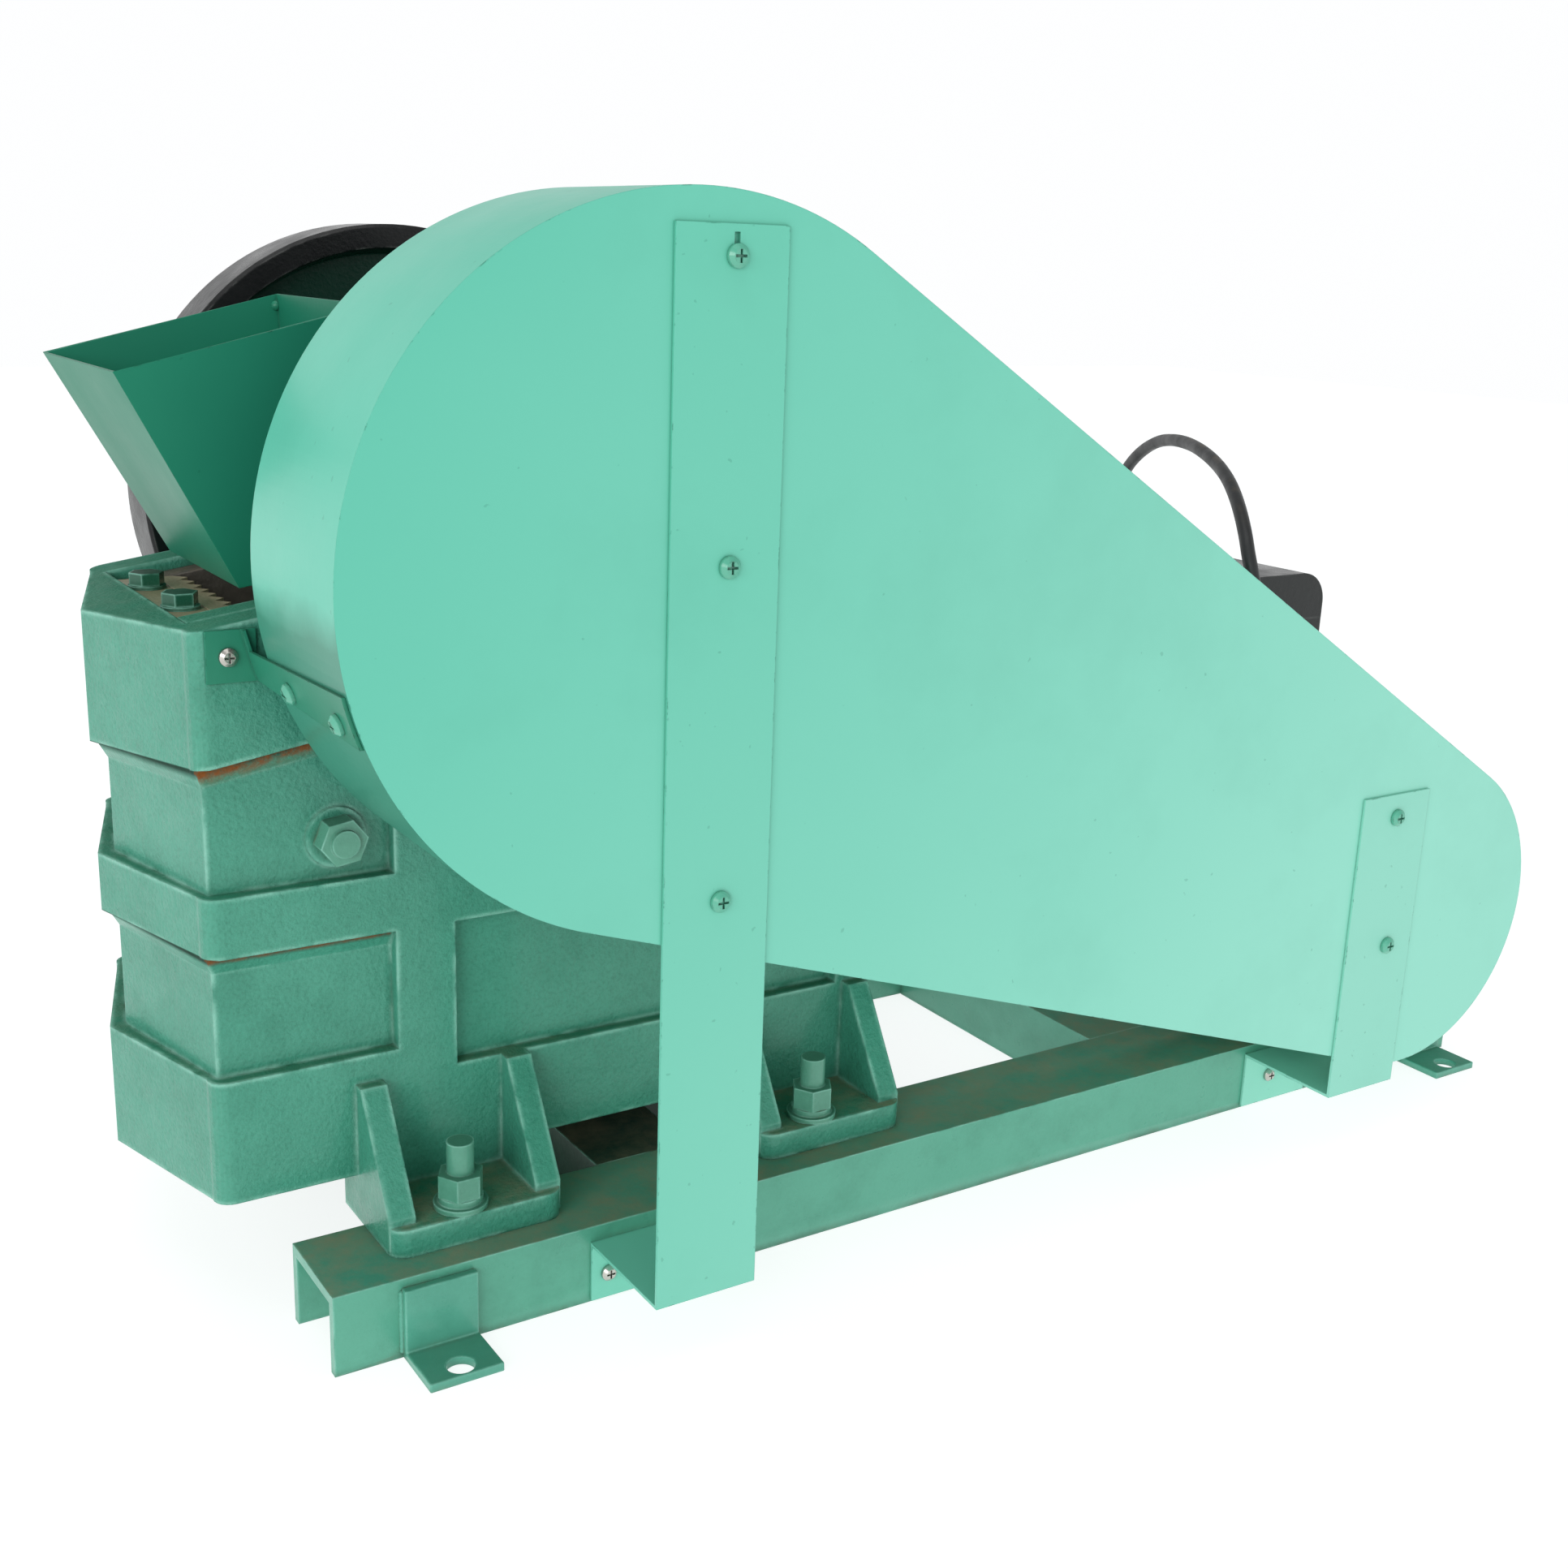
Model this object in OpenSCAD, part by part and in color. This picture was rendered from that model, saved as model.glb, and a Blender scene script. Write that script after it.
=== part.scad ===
// Laboratory single-toggle jaw crusher on a channel-steel base, with its motor, belt drive and guard.
// Millimetres. +X runs along the rails from the feed end to the motor, +Y to the balance-wheel side, +Z up.
// The origin is on the floor, at the centre of the four foundation holes.

/* [Base frame] */
// Length of the two side rails
rail_len = 700; // [700:10:740]
// Web width of the rail channel
rail_w = 50; // [50:1:52]
// Flange height of the rail channel
rail_h = 37; // [36:1:38]
// Wall thickness of the rail channel
rail_t = 4.5; // [4:0.5:5]
// Distance over the outer faces of the two rails
frame_w = 275; // [273:1:277]
// Distance along X between foundation holes
foot_pitch_x = 628; // [620:4:632]
// Distance along Y between foundation holes
foot_pitch_y = 320; // [318:1:322]
// Diameter of a foundation hole
foot_hole_d = 12; // [11:1:13]

/* [Crusher body] */
// Width of the casting over its bands
body_w = 165; // [163:1:167]
// Height of the casting's underside above the floor
body_z = 59; // [58:1:60]
// Depth of the recesses between the bands
recess = 7; // [5:1:8]
// Thickness of the side walls
wall_t = 18; // [17:1:19]
// Thickness of each cheek plate
cheek_t = 14; // [13:1:14]

/* [Shaft and jaw] */
// Height of the eccentric shaft above the floor
shaft_z = 334; // [333:1:335]
// Eccentricity of the middle journal
ecc = 2; // [1:0.5:2]
// Outer radius of the two wheels
wheel_r = 126; // [124:1:127]
// Feed gap between the jaws at the top
gape = 60; // [58:1:60]
// Discharge gap between the jaws at the bottom
set_gap = 9; // [8:1:10]

/* [Motor and guard] */
// Shaft height of the motor above its feet
motor_h = 90; // [90:1:91]
// Outer radius of the guard around the wheel
guard_r1 = 141; // [140:1:142]
// Outer radius of the guard around the motor pulley
guard_r2 = 84; // [83:1:85]
// Depth of the guard
guard_d = 90; // [88:1:91]

/* [Cable] */
// Diameter of the motor cable
cord_d = 7.5; // [7:0.1:7.5]

/* [Hidden] */
$fn = 64;
eps = 0.02;

// base frame
hw = frame_w / 2;
rail_y = hw - rail_w / 2;
rail_x0 = -360;
tab_w = 33;
tab_t = 4;
tab_h = 33;

// crusher body, seen from above: a shallow vee at the front, square at the rear
body_hw = body_w / 2;
front_x = -390;
apex_x = -410;
rear_x = -60;
cavity_x = -384.5;
cavity_hw = body_hw - wall_t;
rear_wall_x = -92;
band_low = [body_z, 114.5];
band_mid = [169, 195];
rib_x = [-308, -281];
// height over which the lower edge of a band slopes in to the recess below it
roof = 8;
lip = 2.5;
top_slope = tan(9);
pocket_end = -78;
ledge_z = 284;
bar_top = 303.5;
bar_bolt_x = -376.2;
cheek_bolt = [-331, 213];

// lugs that stand on the rails: [low x, high x, bolt x]
LUGS = [[-328, -248, -293], [-143, -62, -110]];
lug_y0 = hw - 14;
lug_in = 60;
lug_top = 102;
pad_t = 13;
gusset_t = 12;

// drive line
shaft_x = -229.5;
jaw_x = shaft_x + ecc;
main_r = 17.5;
journal_r = 20;
main_brg_r = 36;
jaw_brg_r = 40;
brg_w = 18;
boss_r = 49;
boss_y = 94;
cover_t = 7;
drive_y = [-146, -106];
balance_y = [102.5, 137.5];
head_r = 50;
head_hw = 58;

// jaws
fixed_back = -367;
plate_t = 13;
tooth = 5;
jaw_top = 300;
jaw_bot = 108;
face_x = fixed_back + plate_t;
nip = atan((gape - set_gap) / (jaw_top - jaw_bot));
plate_hw = 49;
toggle_z = 124;
toggle_r = 8;
toggle_rear_x = -140;
toggle_front_x = -239;
rod_z = 82;
rod_r = 5;

// motor
motor_x = 223;
motor_z = rail_h + motor_h;
pulley_r = 55;
wheel_pitch = 121;
pulley_pitch = 50;
belt_y = [-133.5, -118.5];

// guard straps: [low x, high x, low z, high z, screws [x, z] in the guard, screws x in the rail, their z]
STRAPS = [[-242.5, -194.5, 28, 462.4, [[-217, 451.2], [-217, 338.1], [-217, 204.5]], [-234.2, -203], 13.3],
  [165.4, 215, 31, 196.4, [[191, 184], [196, 112.7]], [184.5, 205], 16.8]];
MOTOR_FEET_Y = [-48, 77];
motor_half_pitch = 70;

// guard
guard_t = 1.5;
guard_front = -196;
guard_c1 = [shaft_x, shaft_z];
guard_c2 = [motor_x, 124];
strap_t = 1.5;

// hopper: tilted mouth over a smaller throat, as [x, half width, z] of the front and rear edges
mouth_f = [-405.3, 60, 401.3];
mouth_r = [-302.2, 60, 427.3];
throat_f = [-359, 51.5, 315];
throat_r = [-298, 51.5, 325];
sheet_t = 1.5;

green = [0.34, 0.62, 0.53];
mint = [0.52, 0.84, 0.75];
dark_green = [0.1, 0.3, 0.22];
steel = [0.72, 0.73, 0.74];
raw_iron = [0.45, 0.44, 0.42];
black = [0.08, 0.08, 0.08];
copper = [0.7, 0.4, 0.2];

// cable route, by hand: out of the gland, over an arch and down to the coil behind the motor
ROUTE = [[180, -78, 246], [179.6, -86.5, 247.4], [178, -94.4, 250.6], [175.4, -101.2, 256],
  [172.3, -106.4, 262.7], [169, -109.8, 270.6], [165.8, -111.4, 279.3], [163, -111.2, 288.6],
  [161.4, -109.2, 298.2], [161.8, -104.9, 307.8], [165.2, -98, 317.4], [171.6, -87.4, 326.5],
  [181, -73, 334.5], [192.5, -55, 341.5], [205.5, -33, 347], [219, -8, 351], [233.5, 18.5, 352.5],
  [248, 46, 351.5], [262, 73, 347.5], [274.5, 99, 339], [285.5, 122, 327], [295, 141.5, 310],
  [302.5, 157.5, 288], [309, 170, 262], [313.5, 179, 232], [317.5, 185, 199.5], [320.5, 189.5, 165],
  [322.5, 192, 131], [324.5, 194.5, 99], [325.5, 197, 70.5], [326, 200.8, 52], [326.6, 202.6, 39.2],
  [327, 206.8, 26.4], [327, 214.6, 14.6], [327, 226.2, 6.8], [327, 240, 4]];
coil_c = [279, 267];
coil_r = 40.4;
coil_rows = 2;
plug_p = [255, 317, 18];
gland_p = [180, 246];

// motor terminal box
box_x = [motor_x - 54, motor_x + 54];
box_y = [-59.5, 41];
box_z = [222, 258, 285];

// ---------- shared shapes ----------

// Cylinder along +Y, from y0 to y1, at [x, z]
module ycyl(x, z, r, y0, y1, fn = 64) {
  translate([x, y1, z]) rotate([90, 0, 0]) cylinder(r = r, h = y1 - y0, $fn = fn);
}

// Cylinder along +X, from x0 to x1, at [y, z]
module xcyl(y, z, r, x0, x1, fn = 48) {
  translate([x0, y, z]) rotate([0, 90, 0]) cylinder(r = r, h = x1 - x0, $fn = fn);
}

// Cuboid by its low and high corners
module block(a, b) {
  translate(a) cube(b - a);
}

// Outline in X and Z, extruded from y0 to y1
module side_profile(points, y0, y1) {
  translate([0, y1, 0]) rotate([90, 0, 0]) linear_extrude(y1 - y0) polygon(points);
}

// Places its child on both sides of the middle plane
module both_sides() {
  children();
  mirror([0, 1, 0]) children();
}

// Hexagonal prism along +Z
module hex(af, h) {
  cylinder(r = af / sqrt(3), h = h, $fn = 6);
}

// Ring along +Y
module yring(x, z, ro, ri, y0, y1) {
  difference() {
    ycyl(x, z, ro, y0, y1);
    ycyl(x, z, ri, y0 - 1, y1 + 1);
  }
}

// Hexagon-head bolt hanging down -Z from a head that stands on z = 0
module hex_bolt(r, len, af, head) {
  hex(af, head);
  translate([0, 0, -len]) cylinder(r = r, h = len + eps, $fn = 32);
}

// Pan-head screw with a cross recess: head outward along +Z, shank down -Z
module pan_screw(head_r, head_h, shank_r, len) {
  difference() {
    union() {
      cylinder(r = head_r, h = head_h * 0.5, $fn = 32);
      translate([0, 0, head_h * 0.5 - eps])
        cylinder(r1 = head_r, r2 = head_r * 0.6, h = head_h * 0.5, $fn = 32);
      translate([0, 0, -len]) cylinder(r = shank_r, h = len + eps, $fn = 24);
    }
    for (a = [0, 90])
      rotate([0, 0, a]) translate([-head_r * 0.55, -head_r * 0.11, head_h * 0.55])
        cube([head_r * 1.1, head_r * 0.22, head_h]);
  }
}

// ---------- base frame ----------

// Channel lying on its flanges along X, centred on y, with a web on top
module channel_x(y, x0, x1) {
  difference() {
    block([x0, y - rail_w / 2, 0], [x1, y + rail_w / 2, rail_h]);
    block([x0 - 1, y - rail_w / 2 + rail_t, -1], [x1 + 1, y + rail_w / 2 - rail_t, rail_h - rail_t]);
  }
}

// Channel between the rails along Y, web on top
module channel_y(x0, x1) {
  difference() {
    block([x0, -hw + rail_w, 0], [x1, hw - rail_w, rail_h]);
    block([x0 + rail_t, -hw, -1], [x1 - rail_t, hw, rail_h - rail_t]);
  }
}

module rail(side) {
  color(green) difference() {
    channel_x(side * rail_y, rail_x0, rail_x0 + rail_len);
    for (l = LUGS)
      translate([l[2], side * (hw - 25), 0]) cylinder(r = 6.5, h = 60, $fn = 32);
    if (side < 0)
      for (s = STRAPS, x = s[5])
        ycyl(x, s[6], 2.55, -hw - 1, -hw + rail_t + 1, 24);
  }
}

module rail_near() { rail(-1); }
module rail_far() { rail(1); }

module cross_member_body() {
  color(green) channel_y(-214, -164);
}

// Slots let the motor slide along X to tighten the belts
module motor_channel(x0, x1, bolt_x, slot) {
  color(green) difference() {
    channel_y(x0, x1);
    for (y = MOTOR_FEET_Y, dx = [-slot, slot])
      translate([bolt_x + dx, y, 0]) cylinder(r = 5.5, h = 60, $fn = 32);
    for (y = MOTOR_FEET_Y)
      block([bolt_x - slot, y - 5.5, 0], [bolt_x + slot, y + 5.5, 60]);
  }
}

module cross_member_motor_front() {
  motor_channel(94, 174, motor_x - motor_half_pitch, 12);
}

module cross_member_motor_rear() {
  motor_channel(262, 324, motor_x + motor_half_pitch, 12);
}

module foot_tabs() {
  color(green) both_sides() for (x = [-foot_pitch_x / 2, foot_pitch_x / 2])
    difference() {
      union() {
        block([x - tab_w / 2, -hw - tab_t, 0], [x + tab_w / 2, -hw, tab_h]);
        block([x - tab_w / 2, -hw - 30, 0], [x + tab_w / 2, -hw, tab_t]);
      }
      translate([x, -foot_pitch_y / 2, -1]) cylinder(r = foot_hole_d / 2, h = 20, $fn = 48);
    }
}

// ---------- crusher body ----------

// Plan of the casting: rounded front corners at full size, plain ones where it is pulled in by d
module body_plan(d) {
  w = body_hw - d;
  r = 9;
  x0 = front_x + d;
  xr = rear_x - (d > 0 ? d : 0);
  c = d > 0 ? [[apex_x + d + (front_x - apex_x) * w / body_hw, w]]
    : [for (a = [0 : 15 : 90]) [x0 + r - r * cos(a) + (r - r * sin(a)) * 0.12, w - r + r * sin(a)]];
  polygon(concat([[apex_x + d, 0]], c, [[xr, w], [xr, -w]],
    [for (i = [len(c) - 1 : -1 : 0]) [c[i][0], -c[i][1]]]));
}

module body_slab(d, z0, z1) {
  translate([0, 0, z0]) linear_extrude(z1 - z0) body_plan(d);
}

// Height of the sloping top rim, and of the underside of the top block
function rim_z(x) = 304 + (x + 390) * top_slope;
function block_z(x) = 248 + (x + 390) * tan(9.5);

// Side view of the casting
SIDE = [[-420, body_z], [rear_x, body_z], [rear_x, 207], [-118, 207], [-170, 322],
  [-182, rim_z(-182)], [-277, rim_z(-277)], [-420, rim_z(-420)]];

module body_outer() {
  intersection() {
    body_slab(0, body_z, 400);
    side_profile(SIDE, -100, 100);
  }
}

// Prism along one face: level under the band at z from the face in to the lip, and from there
// sloping down to the recess floor, roof lower, as the casting's fillet does
module roof_prism(corner, z, turn, lift, depth) {
  slope = roof / (depth - lip);
  translate([corner[0], corner[1], z]) rotate([0, -lift, turn]) translate([-60, 0, 0])
    rotate([90, 0, 90]) linear_extrude(200)
      polygon([[depth + 1, -roof - 6], [depth + 1, -roof - slope], [lip, 0], [-30, 0],
        [-30, -roof - 6]]);
}

// The same along the side faces and the two faces of the front, for a band whose underside is at
// z at the front corners and rises along X by an angle
module roof_cut(z, rise) {
  vee = apex_x - front_x;
  both_sides() {
    roof_prism([front_x, -body_hw], z, 0, rise, recess);
    roof_prism([apex_x, 0], z + vee * tan(rise), atan2(-body_hw, -vee),
      atan(-vee * tan(rise) / norm([vee, body_hw])), recess * body_hw / norm([vee, body_hw]));
  }
}

// Recess that wraps round the front from rib to rib, from z0 up to the underside of the band over
// it, which is at z at the front corners and rises along X by an angle
module wrap_recess(z0, z, rise) {
  ends = [-430, rib_x[0] + 5];
  top = [for (x = ends) [x, z - roof - 3 + (x - front_x) * tan(rise)]];
  difference() {
    union() {
      side_profile([[ends[0], z0], [ends[1], z0], top[1], top[0]], -120, 120);
      roof_cut(z, rise);
    }
    body_slab(recess, 0, 500);
    block([rib_x[0], -200, 0], [0, 200, 500]);
  }
}

// Shallow pocket in a side face, behind the rib
module side_pocket(z0, z1) {
  both_sides() block([rib_x[1], -body_hw - 1, z0], [pocket_end, -body_hw + recess, z1]);
}

module lug(l) {
  both_sides() {
    difference() {
      union() {
        block([l[0], -lug_y0 + 8, rail_h], [l[1], -body_hw + 1, rail_h + pad_t]);
        block([l[0] + 8, -lug_y0, rail_h], [l[1] - 8, -lug_y0 + 9, rail_h + pad_t]);
        for (x = [l[0] + 8, l[1] - 8])
          translate([x, -lug_y0 + 8, rail_h]) cylinder(r = 8, h = pad_t, $fn = 48);
        block([l[0], -body_hw, rail_h], [l[1], -lug_in, body_z + 3]);
        for (x = [l[0], l[1] - gusset_t])
          translate([x, 0, 0]) rotate([90, 0, 90]) linear_extrude(gusset_t)
            polygon([[-lug_y0 + 5, rail_h + 2], [-lug_y0 + 5, rail_h + pad_t + 3], [-body_hw - 6, lug_top],
              [-body_hw + 1, lug_top], [-body_hw + 1, rail_h + 2]]);
      }
      translate([l[2], -hw + 25, 0]) cylinder(r = 6.5, h = 80, $fn = 32);
    }
  }
}

module crusher_body() {
  color(green) difference() {
    union() {
      difference() {
        body_outer();
        wrap_recess(band_low[1], band_mid[0], 0);
        wrap_recess(band_mid[1], block_z(front_x), 9.5);
        side_pocket(102, band_mid[0]);
        side_pocket(band_mid[1], 268);
      }
      both_sides() ycyl(shaft_x, shaft_z, boss_r, -boss_y, -cavity_hw, 96);
      for (l = LUGS) lug(l);
      both_sides() cheek_boss();
    }
    // crushing chamber and the space behind the moving jaw, open at the top and the bottom
    side_profile([[fixed_back, 0], [fixed_back, ledge_z], [cavity_x, ledge_z], [cavity_x, 500], [-132, 500],
      [-132, 207], [-120, 194], [rear_wall_x, 194], [rear_wall_x, 0]], -cavity_hw, cavity_hw);
    both_sides() {
      ycyl(shaft_x, shaft_z, main_brg_r, -100, -boss_y + 5 + brg_w);
      ycyl(shaft_x, shaft_z, main_r + 6, -100, 0);
      for (a = [45 : 90 : 315])
        ycyl(shaft_x + 42 * cos(a), shaft_z + 42 * sin(a), 2.5, -boss_y - 1, -boss_y + 12, 24);
      ycyl(cheek_bolt[0], cheek_bolt[1], 6.1, -100, 0, 32);
      ycyl(-374.4, 294.4, 2, -100, -cavity_hw - 4, 24);
    }
    // clamp-bolt threads, tension-rod hole with its spring pocket, and the adjusting-bolt hole
    for (y = [-26, 26]) translate([bar_bolt_x, y, 255]) cylinder(r = 4.05, h = 40, $fn = 32);
    xcyl(0, rod_z, rod_r + 3.6, -120, 0);
    xcyl(0, rod_z, 17, rear_x - 12, 0);
    translate([-102, 0, 150]) cylinder(r = 6.2, h = 100, $fn = 32);
    hopper_screw_places() cylinder(r = 2.05, h = 26, center = true, $fn = 24);
  }
}

// Raised pad round the cheek-plate bolt, inside the recess
module cheek_boss() {
  ycyl(cheek_bolt[0], cheek_bolt[1], 13, -body_hw + recess - 2, -cavity_hw - 1, 48);
}

module body_bolts() {
  color(green) both_sides() for (l = LUGS) translate([l[2], -hw + 25, 0]) {
    translate([0, 0, rail_h - rail_t]) mirror([0, 0, 1]) hex_bolt(6, 48, 18, 7.5);
    translate([0, 0, rail_h + pad_t]) difference() {
      union() {
        cylinder(r = 12, h = 2.5, $fn = 48);
        translate([0, 0, 2.5]) cylinder(r = 9.8, h = 3, $fn = 48);
        translate([0, 0, 5.5]) hex(18, 10.5);
      }
      translate([0, 0, -1]) cylinder(r = 6.05, h = 30, $fn = 32);
    }
  }
}

// ---------- jaws ----------

// Corrugated wear plate: teeth run along Z, tips at x = 0, back at x = plate_t
module jaw_plate_plan(shift, flip) {
  n = 9;
  p = 2 * plate_hw / n;
  pts = [for (i = [0 : n - 1]) for (k = [[0, tooth], [0.5, 0]])
    [k[1], -plate_hw + (i + k[0]) * p]];
  teeth = shift ? [for (q = pts) [tooth - q[0], q[1]]] : pts;
  poly = concat([[plate_t, -plate_hw]], teeth, [[shift ? 0 : tooth, plate_hw]], [[plate_t, plate_hw]]);
  polygon([for (q = poly) [flip ? -q[0] : q[0], q[1]]]);
}

module fixed_jaw_plate() {
  color(raw_iron) translate([face_x, 0, jaw_bot])
    linear_extrude(304 - jaw_bot) jaw_plate_plan(false, true);
}

module jaw_clamp_bar() {
  color(raw_iron) difference() {
    block([cavity_x, -50.3, ledge_z], [fixed_back, 50.3, bar_top]);
    for (y = [-26, 26]) translate([bar_bolt_x, y, 200]) cylinder(r = 4.5, h = 150, $fn = 32);
  }
}

module clamp_bolts() {
  color(dark_green) for (y = [-26, 26]) translate([bar_bolt_x, y, bar_top]) {
    cylinder(r = 8, h = 1.6, $fn = 48);
    translate([0, 0, 1.6]) hex_bolt(4, 38, 13, 5.5);
  }
}

// Side liner between the jaws; drop lowers its top below the rim
module cheek_plate(side, drop) {
  y = [cavity_hw - cheek_t, cavity_hw];
  x1 = -285;
  difference() {
    side_profile([[fixed_back, 92], [fixed_back, ledge_z], [cavity_x, ledge_z],
      [cavity_x, rim_z(cavity_x) - drop], [x1, rim_z(x1) - drop], [x1, 92]],
      side < 0 ? -y[1] : y[0], side < 0 ? -y[0] : y[1]);
    ycyl(cheek_bolt[0], cheek_bolt[1], 6.1, -100, 100, 32);
    both_sides() translate([cheek_bolt[0], -cavity_hw + cheek_t + eps, cheek_bolt[1]]) rotate([90, 0, 0])
      cylinder(r1 = 12.2, r2 = 6, h = 7, $fn = 48);
  }
}

module cheek_plate_near() { color(green) cheek_plate(-1, 0); }
module cheek_plate_far() { color(raw_iron) cheek_plate(1, 5); }

// Countersunk bolts through the cheek plates, each with its nut outside
module cheek_bolts() {
  color(green) both_sides() translate([cheek_bolt[0], 0, cheek_bolt[1]]) rotate([90, 0, 0]) {
    translate([0, 0, cavity_hw - cheek_t + 0.5]) cylinder(r1 = 11.5, r2 = 6, h = 6.2, $fn = 48);
    cylinder_span(6, cavity_hw - cheek_t + 1, body_hw - recess + 14);
    translate([0, 0, body_hw - recess + 2]) difference() {
      rotate([0, 0, 8]) hex(18, 10);
      translate([0, 0, -1]) cylinder(r = 5.9, h = 20, $fn = 32);
    }
  }
}

module cylinder_span(r, z0, z1) {
  translate([0, 0, z0]) cylinder(r = r, h = z1 - z0, $fn = 32);
}

// Point in X and Z at u behind the moving jaw's tooth tips and v up the plate
function jw(u, v) = [face_x + set_gap + u * cos(nip) + v * sin(nip), jaw_bot - u * sin(nip) + v * cos(nip)];
plate_len = (jaw_top - jaw_bot) / cos(nip);

module on_jaw() {
  translate([face_x + set_gap, 0, jaw_bot]) rotate([0, nip, 0]) children();
}

module moving_jaw_plate() {
  color(raw_iron) difference() {
    on_jaw() linear_extrude(plate_len) jaw_plate_plan(true, false);
    jaw_bolt_places() cylinder(r = 5.2, h = 80, center = true, $fn = 32);
    jaw_bolt_places() translate([0, 0, 5]) cylinder(r1 = 5, r2 = 9.5, h = 8.1, $fn = 48);
  }
}

// Bolt axes of the moving jaw plate, with +Z out of its face and zero at its back
module jaw_bolt_places() {
  for (v = [45, plate_len - 40])
    on_jaw() translate([plate_t, 0, v]) rotate([0, -90, 0]) children();
}

module jaw_plate_bolts() {
  color(raw_iron) jaw_bolt_places() {
    translate([0, 0, 5.4]) cylinder(r1 = 5, r2 = 8.4, h = 5.6, $fn = 48);
    translate([0, 0, -26]) cylinder(r = 5, h = 32, $fn = 32);
  }
}

module moving_jaw() {
  color(green) difference() {
    union() {
      side_profile([jw(plate_t, -8), jw(plate_t, plate_len + 6), [-255, 340], [-195, 305], [-240, 165],
        [-251, 150], [-251, 98], [-312, 86]], -48, 48);
      ycyl(jaw_x, shaft_z, head_r, -head_hw, head_hw, 96);
      block([-314, -12, rod_z - 11], [-292, 12, rod_z + 12]);
    }
    ycyl(jaw_x, shaft_z, 33, -100, 100);
    both_sides() ycyl(jaw_x, shaft_z, jaw_brg_r, -100, -head_hw + 2 + brg_w);
    jaw_bolt_places() translate([0, 0, -26]) cylinder(r = 5, h = 30, $fn = 32);
    block([-263, -45.1, toggle_z - 20], [-250, 45.1, toggle_z + 20]);
    xcyl(0, rod_z, rod_r, -400, -250);
    xcyl(0, rod_z, rod_r + 4, -340, -314);
  }
}

// Hard seat with a wide groove for the toggle's rounded end
module toggle_seat_front() {
  color(raw_iron) difference() {
    block([-263, -45, toggle_z - 20], [toggle_front_x - toggle_r - 0.3 + 3, 45, toggle_z + 20]);
    block([toggle_front_x - toggle_r - 0.3, -50, toggle_z - 13.2], [-200, 50, toggle_z + 13.2]);
  }
}

module toggle_seat_rear() {
  color(raw_iron) difference() {
    side_profile([[toggle_rear_x - 2, toggle_z - 22], [toggle_rear_x - 2, toggle_z + 22],
      [wedge_x(toggle_z + 22), toggle_z + 22], [wedge_x(toggle_z - 22), toggle_z - 22]],
      -cavity_hw, cavity_hw);
    ycyl(toggle_rear_x, toggle_z, toggle_r + 0.06, -50, 50);
  }
}

module toggle_plate() {
  color(raw_iron) {
    ycyl(toggle_front_x, toggle_z, toggle_r, -42, 42);
    ycyl(toggle_rear_x, toggle_z, toggle_r, -42, 42);
    block([toggle_front_x, -42, toggle_z - 6], [toggle_rear_x, 42, toggle_z + 6]);
  }
}

// Wedge behind the rear seat; its bolt draws it up to close the discharge gap
function wedge_x(z) = -122 + (z - 96) * 10 / 74;

module adjusting_wedge() {
  color(raw_iron) difference() {
    side_profile([[wedge_x(96), 96], [wedge_x(170), 170], [rear_wall_x, 170], [rear_wall_x, 96]],
      -cavity_hw, cavity_hw);
    translate([-102, 0, 140]) cylinder(r = 6, h = 60, $fn = 32);
  }
}

module adjusting_bolt() {
  color(steel) translate([-102, 0, 207]) {
    cylinder(r = 12, h = 2.5, $fn = 48);
    translate([0, 0, 2.5]) hex(18, 10);
    translate([0, 0, -67 + 0.2]) cylinder(r = 6, h = 92, $fn = 32);
  }
}

module tension_rod() {
  color(steel) {
    xcyl(0, rod_z, rod_r, -316, -4);
    xcyl(0, rod_z, rod_r + 3, -319, -314.05);
  }
}

spring_x = [rear_x - 4, -24];
spring_r = 11;

// Helical spring: a round wire swept along six turns with closed ends
function spring_centre(t) = let (k = t < 0.12 ? 0 : t > 0.88 ? 1 : (t - 0.12) / 0.76)
  [spring_x[0] + 1.8 + k * (spring_x[1] - spring_x[0] - 3.6),
    spring_r * cos(t * 360 * 7), rod_z + spring_r * sin(t * 360 * 7)];

module tension_spring() {
  color(steel) tube([for (i = [0 : 98]) spring_centre(i / 98)], 1.7, 8);
}

module tension_nuts() {
  color(steel) difference() {
    union() {
      xcyl(0, rod_z, 15, -24 + 0.05, -21);
      for (x = [-21, -12.4]) translate([x, 0, rod_z]) rotate([0, 90, 0]) hex(16, 8.4);
    }
    xcyl(0, rod_z, rod_r, -30, 0);
  }
}

// ---------- tube sweep ----------

function unit(v) = v / norm(v);
function tangent(p, i) = unit(p[min(i + 1, len(p) - 1)] - p[max(i - 1, 0)]);
function side_of(t, ref) = unit(cross(t, ref));

// Closed tube of radius r with n sides along the points p
module tube(p, r, n) {
  last = len(p) - 1;
  frames = carry(p, 0, [side_of(tangent(p, 0), abs(tangent(p, 0)[2]) > 0.9 ? [1, 0, 0] : [0, 0, 1])]);
  ring = [for (i = [0 : last]) for (k = [0 : n - 1])
    let (t = tangent(p, i), a = frames[i], b = cross(t, a), w = 360 * k / n)
    p[i] + r * (cos(w) * a + sin(w) * b)];
  faces = concat([[for (k = [0 : n - 1]) k]], [[for (k = [n - 1 : -1 : 0]) last * n + k]],
    [for (i = [0 : last - 1]) for (k = [0 : n - 1])
      [i * n + (k + 1) % n, i * n + k, (i + 1) * n + k, (i + 1) * n + (k + 1) % n]]);
  polyhedron(ring, faces);
}

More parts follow.
